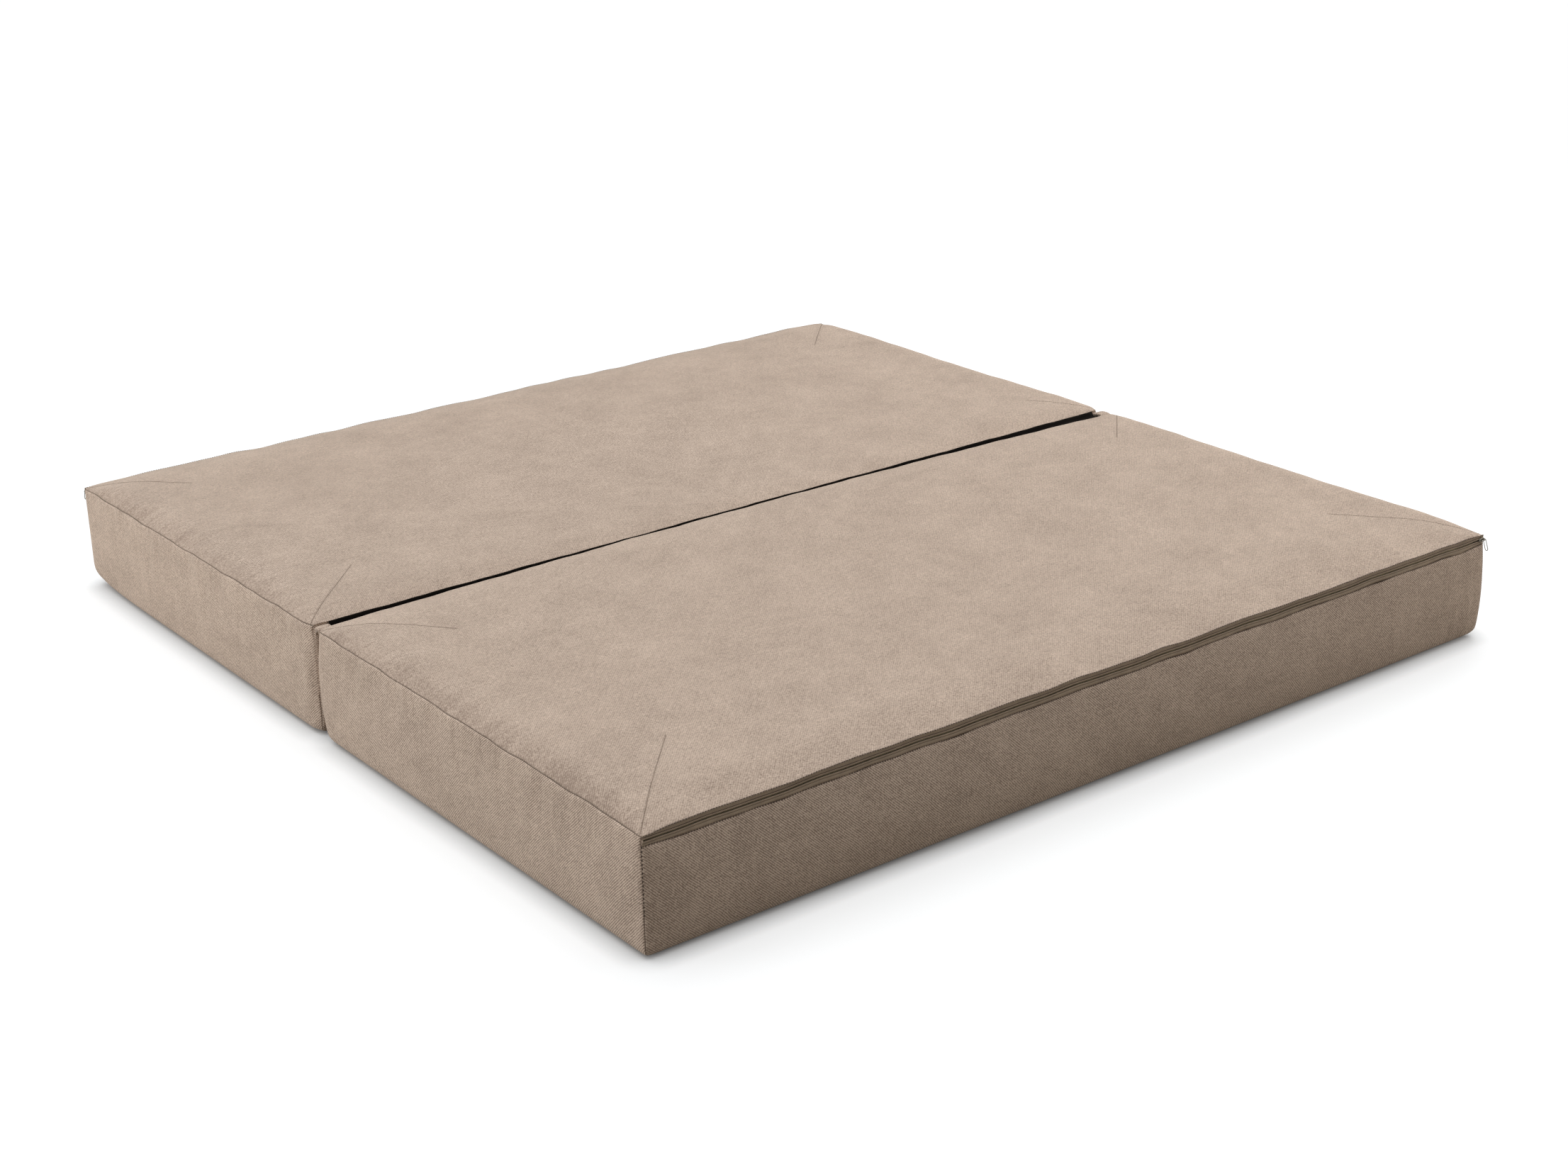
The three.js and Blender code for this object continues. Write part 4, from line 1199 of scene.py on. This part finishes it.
def cushion_filling(side, lattice, vertices, turned, looks):
    """Foam with a layer of wadding above and below it, each a little smaller than the cover round it."""
    start = turned_half(vertices) if turned else vertices
    place = turned_half if turned else np.array
    centre = np.array([0, -(DEPTH + JOINT_HALF_GAP_MIDDLE) / 2, 0])
    scale = np.array([1 - FOAM_INSET / HALF_LENGTH, 1 - FOAM_INSET / (DEPTH / 2),
                      1 - FOAM_THINNER / FULL_HEIGHT])
    foam_places = (start - centre) * scale + centre + np.array([0, 0, FOAM_LIFT])
    foam = new_object(f"{side}_foam_block", place(foam_places), lattice.faces, looks["foam"])
    top = start[lattice.top[2:-2, 2:-2]]
    base = start[lattice.base[1:-1, 1:-1]]
    upper, lower = (place(top - np.array([0, 0, depth])) for depth in UPPER_WADDING_DEPTHS)
    above = grid_slab(f"{side}_upper_wadding", upper, lower, looks["wadding"])
    upper, lower = (place(base + np.array([0, 0, height])) for height in LOWER_WADDING_HEIGHTS)
    below = grid_slab(f"{side}_lower_wadding", upper, lower, looks["wadding"])
    for piece, node_name, slot_name, fill in ((foam, "foam_core", "foam", 0.95),
                                              (above, "wadding_top", "wadding", 0.5),
                                              (below, "wadding_base", "wadding", 0.4)):
        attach(piece, f"{side}_cushion")
        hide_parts(f"{side}_{node_name}")


def cover_threads(side, lattice, vertices, top, looks, stitches):
    """Thread along the cover's seams, its diagonal corner seams and the two folds beside the zip.
    The thread of the corners beside the zip starts below the tape, where the slider doesn't pass."""
    last_i = lattice.last_i
    left_i, right_i = (last_i, 0) if side == "back" else (0, last_i)
    bold = vertices[lattice.walls[left_i, 0][CORNER_STITCH_ROWS]]
    fine = vertices[lattice.walls[right_i, 0][CORNER_STITCH_ROWS]]
    edges = [vertices[lattice.top[i, :]] for i in (0, -1)]
    darts = [line_on_surface(top, line, DART_STEP, DART_LIFT) for line in DARTS[side]]
    out = np.array([0, ZIP_STITCH_OUT if side == "back" else -ZIP_STITCH_OUT, 0])
    ledge = vertices[[lattice.walls[i, 0][0] for i in range(1, last_i)]] + out
    ledge += np.array([0, 0, LEDGE_STITCH_RISE])
    fold = vertices[lattice.top[1:-1, 0]] + out
    for word, lines, thread, stitch in (("corner", [bold], "thread", BOLD_CORNER_STITCH),
                                        ("fine_corner", [fine], "pale_thread", FINE_CORNER_STITCH),
                                        ("edge", edges, "pale_thread", EDGE_STITCH),
                                        ("dart", darts, "pale_thread", DART_STITCH),
                                        ("zip", [ledge, fold], "thread", ZIP_EDGE_STITCH)):
        piece = sew(f"{side}_{word}_stitches", lines, stitches, looks[thread], stitch)
        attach(piece, f"{side}_cushion")


def zip_parts(side, turned, looks, stitches):
    """The two halves of the zip with their coils and stitches, and its slider and pull."""
    body = f"{side}_cushion"
    way = -1 if turned else 1
    for word, sign, stitch in (("upper", 1, UPPER_TAPE_STITCH), ("lower", -1, LOWER_TAPE_STITCH)):
        tape = zip_tape(f"{side}_{word}_tape", sign, turned, TAPE_SEED + sign, looks["tape"])
        low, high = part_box(f"{side}_zip_coil_{word}")
        middle_y, middle_z = (low[1] + high[1]) / 2, (low[2] + high[2]) / 2
        stations = np.linspace(low[0] + COIL_END_INSET, high[0] - COIL_END_INSET, COIL_STATIONS)
        line = [(x, middle_y, middle_z + zip_waver(way * x)) for x in stations]
        coil = sew(f"{side}_{word}_coil", [line], stitches, looks["coil"], COIL_TURN)
        groove_z = ZIP_HEIGHT + sign * TAPE_GROOVE_SHARE * TAPE_HALF
        groove = [(x, -way * (DEPTH - GROOVE_DEPTH), groove_z + zip_waver(way * x)) for x in stations]
        row = sew(f"{side}_{word}_tape_stitches", [groove], stitches, looks["thread"], stitch)
        for piece, slot_name in ((row, "zip_tape"), (tape, "zip_tape"), (coil, "zip_coil")):
            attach(piece, body)
        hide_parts(f"{side}_zip_tape_{word}")
        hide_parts(f"{side}_zip_coil_{word}")
    for maker, node_name, rider in ((zip_slider, "zip_slider", "slider"), (zip_pull, "zip_pull", "pull")):
        piece = maker(f"{side}_{rider}_metal", looks["metal"])
        if turned:
            piece.data.transform(Matrix.Rotation(math.pi, 4, "Z"))
        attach(piece, f"{side}_{rider}")
        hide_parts(f"{side}_{node_name}")


def build_cushion(side, looks, stitches):
    """One whole cushion. It gives back the places of its joint seam, for the hinge cloth to join."""
    turned = side == "back"
    lattice = CoverLattice(side, BACK_SEED if turned else FRONT_SEED)
    vertices = fill_with_cloth(lattice, lattice.vertices, f"{side}_swelling")
    if turned:
        vertices = turned_half(vertices)
    top = cover_part(f"{side}_top_cloth", lattice, vertices, ("top",), turned, looks[f"{side}_top"])
    sides = ("zip_side", "joint_side", "left_end", "right_end", "base")
    lower = cover_part(f"{side}_border_cloth", lattice, vertices, sides, turned, looks["cover"])
    for piece, node_name in ((top, "top_panel"), (lower, "lower_cover")):
        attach(piece, f"{side}_cushion")
        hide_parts(f"{side}_{node_name}")
    cushion_filling(side, lattice, vertices, turned, looks)
    cover_threads(side, lattice, vertices, top, looks, stitches)
    zip_parts(side, turned, looks, stitches)
    return vertices[lattice.top[2:-2, -1]]


def ribbon(name, stations, paths, thickness, material):
    """A strap or strip of cloth: paths in Y and Z, one at each place along X, with a thickness below them."""
    rings = []
    for x, places in zip(stations, paths):
        places = np.array(places)
        along = np.gradient(places, axis=0)
        normal = np.stack([-along[:, 1], along[:, 0]], axis=1)
        normal /= np.linalg.norm(normal, axis=1, keepdims=True)
        under = places - normal * thickness
        rings.append([(x, y, z) for y, z in places] + [(x, y, z) for y, z in under[::-1]])
    piece = loft(name, rings, material)
    vertices = piece.data.vertices
    add_cloth_places(piece, [vertices[loop.vertex_index].co[:2] for loop in piece.data.loops])
    add_seam_gaps(piece, np.ones(len(vertices)))
    return piece


def rim_place(rim, x):
    """Depth and height of a cushion's joint seam at a place along the bed."""
    order = np.argsort(rim[:, 0])
    return np.array([np.interp(x, rim[order, 0], rim[order, k]) for k in (1, 2)])


def hinge_strip(looks, rims):
    """The black cloth valley between the cushions."""
    low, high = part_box("hinge_strip")
    stations = np.linspace(low[0], high[0] + HINGE_OVERHANG, HINGE_STATIONS)
    paths = []
    for x in stations:
        front, back = rim_place(rims["front"], x), rim_place(rims["back"], x)
        sag = HINGE_SAG + sum(height * math.sin(x * rate) for height, rate in HINGE_SAG_WAVES)
        places = []
        for t in np.linspace(-1, 1, HINGE_PLACES):
            y, z = front + (back - front) * (1 + t) / 2
            places.append((y - HINGE_SEAM_TUCK * t, z - HINGE_SEAM_DROP - sag * (1 - t ** 4)))
        paths.append(places)
    strip = ribbon("hinge_cloth", stations, paths, HINGE_THICKNESS, looks["hinge"])
    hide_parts("hinge_strip")
    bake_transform(strip)


def hinge_strap(word, looks):
    """The arched strap of cover cloth over one end of the joint."""
    low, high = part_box(f"hinge_tab_{word}")
    stations = np.linspace(low[0], high[0], STRAP_STATIONS) + (RIGHT_STRAP_SHIFT if word == "right" else 0)
    half = float(joint_half_gap((low[0] + high[0]) / 2 / HALF_LENGTH)) + STRAP_CLEARANCE
    lowest, highest = STRAP_FOOT_HEIGHTS
    paths = []
    for x in stations:
        from_edge = min(x - stations[0], stations[-1] - x)
        foot = STRAP_ARCH_FOOT - STRAP_EDGE_DIP * math.exp(-from_edge / STRAP_EDGE_REACH)
        arch = [(half * math.cos(a), foot + STRAP_ARCH_RISE * math.sin(a))
                for a in np.linspace(math.pi, 0, STRAP_ARCH_PLACES)]
        paths.append([(-half, lowest), (-half, highest), *arch, (half, highest), (half, lowest)])
    strap = ribbon(f"hinge_strap_{word}", stations, paths, STRAP_THICKNESS, looks["cover"])
    soften(strap)
    bake_modifiers(strap)
    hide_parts(f"hinge_tab_{word}")
    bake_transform(strap)


def add_to_scene(name, data, matrix):
    """Adds a camera or a lamp at its place."""
    added = bpy.data.objects.new(name, data)
    added.matrix_world = matrix
    bpy.context.scene.collection.objects.link(added)
    return added


def make_camera():
    azimuth, elevation, roll = (math.radians(a) for a in (CAMERA_AZIMUTH, CAMERA_ELEVATION, CAMERA_ROLL))
    flat = math.cos(elevation)
    back = Vector((-math.sin(azimuth) * flat, -math.cos(azimuth) * flat, math.sin(elevation)))
    right = (-back).cross(Vector((0, 0, 1))).normalized()
    up = right.cross(-back)
    rolled_right = math.cos(roll) * right + math.sin(roll) * up
    rolled_up = -math.sin(roll) * right + math.cos(roll) * up
    data = bpy.data.cameras.new("Photo camera")
    data.sensor_width = SENSOR_WIDTH
    data.sensor_fit = "HORIZONTAL"
    data.lens = SENSOR_WIDTH * FOCAL_PIXELS / FRAME_PIXELS
    turn = Matrix((rolled_right, rolled_up, back)).transposed().to_4x4()
    bpy.context.scene.camera = add_to_scene("Photo camera", data, Matrix.Translation(CAMERA_PLACE) @ turn)


def sun_light(name, toward, strength, spread):
    """A soft even light, from far away in one direction."""
    data = bpy.data.lights.new(name, "SUN")
    data.energy = strength
    data.angle = math.radians(spread)
    add_to_scene(name, data, Vector(toward).to_track_quat("Z", "Y").to_matrix().to_4x4())


def area_light(name, place, target, size, power, colour="#ffffff"):
    """A soft box: a bright rectangle at a place, facing its target."""
    data = bpy.data.lights.new(name, "AREA")
    data.shape = "RECTANGLE"
    data.size, data.size_y = size
    data.energy = power
    data.color = hex_colour(colour)[:3]
    turn = (Vector(target) - Vector(place)).to_track_quat("-Z", "Y").to_matrix().to_4x4()
    add_to_scene(name, data, Matrix.Translation(place) @ turn)


def make_floor():
    """A pale studio floor: white to the camera where it is lit, with the bed's soft wide shadow on it.
    A glow of its own keeps the lamps' shadow as faint as studio paper shows it. The glow is shut off close
    under the bed, which paints a dark contact shadow there."""
    material, tree = empty_material("matt white studio paper")
    bounce = node(tree, "ShaderNodeBsdfDiffuse", {"Color": hex_colour("#aaa59e")})
    lit = node(tree, "ShaderNodeBsdfDiffuse", {"Color": hex_colour("#bfc2c4")})
    # Painted contact shadow: ambient occlusion dims the floor's glow close under the bed.
    contact_shade = node(tree, "ShaderNodeAmbientOcclusion", {"Distance": FLOOR_SHADE_REACH}, samples=8)
    glow_power = node(tree, MATH, {0: contact_shade.outputs["AO"], 1: FLOOR_GLOW}, operation="MULTIPLY")
    glow = node(tree, "ShaderNodeEmission", {"Color": hex_colour("#ffffff"), "Strength": glow_power})
    shown = node(tree, "ShaderNodeAddShader", {0: lit, 1: glow})
    seen = node(tree, "ShaderNodeLightPath").outputs["Is Camera Ray"]
    surface = node(tree, "ShaderNodeMixShader", {"Fac": seen, 1: bounce, 2: shown})
    node(tree, "ShaderNodeOutputMaterial", {"Surface": surface})
    corners = [(-1, -1), (1, -1), (1, 1), (-1, 1)]
    places = [(x * FLOOR_HALF_SIZE, y * FLOOR_HALF_SIZE, 0) for x, y in corners]
    new_object("studio_floor", places, [(0, 1, 2, 3)], material)


def make_world():
    """A white background to the eye and in mirrors, which lights the bed only faintly."""
    world = bpy.data.worlds.new("Studio")
    bpy.context.scene.world = world
    world.use_nodes = True
    tree = world.node_tree
    tree.nodes.clear()
    path = node(tree, "ShaderNodeLightPath").outputs
    passed_on = {0: path["Is Glossy Ray"], 1: path["Is Transmission Ray"]}
    mirrored = node(tree, MATH, passed_on, operation="MAXIMUM")
    shown = node(tree, MATH, {0: path["Is Camera Ray"], 1: mirrored}, operation="MAXIMUM")
    soft = node(tree, "ShaderNodeBackground", {"Color": hex_colour("#fffaf6"), "Strength": WORLD_STRENGTH})
    white = node(tree, "ShaderNodeBackground", {"Color": hex_colour("#ffffff"), "Strength": 1.0})
    mix = node(tree, "ShaderNodeMixShader", {"Fac": shown, 1: soft, 2: white})
    node(tree, "ShaderNodeOutputWorld", {"Surface": mix})


make_camera()
make_world()
make_floor()
sun_light("Soft light overhead", toward=(0.01, 0.19, 0.95), strength=2.30, spread=75)
area_light("Light from the left", (-3.9, 1.4, 0.5), target=(-0.9, 0.1, 0.1), size=(2.0, 0.7), power=56)
area_light("Light over the far end", (3.5, 0.7, 2.4), target=(0.5, 0.0, 0.2), size=(1.6, 1.6), power=36)
area_light("Faint light from the right", (3.4, -2.4, 0.8), target=(0.9, -1.0, 0.1), size=(1.4, 1.0), power=21,
           colour="#fff6ec")

looks = make_looks()
stitches = stitch_tree()
rims = {side: build_cushion(side, looks, stitches) for side in ("front", "back")}
hinge_strip(looks, rims)
for word in ("left", "right"):
    hinge_strap(word, looks)

bpy.context.scene.view_settings.view_transform = "Standard"
bpy.context.view_layer.update()
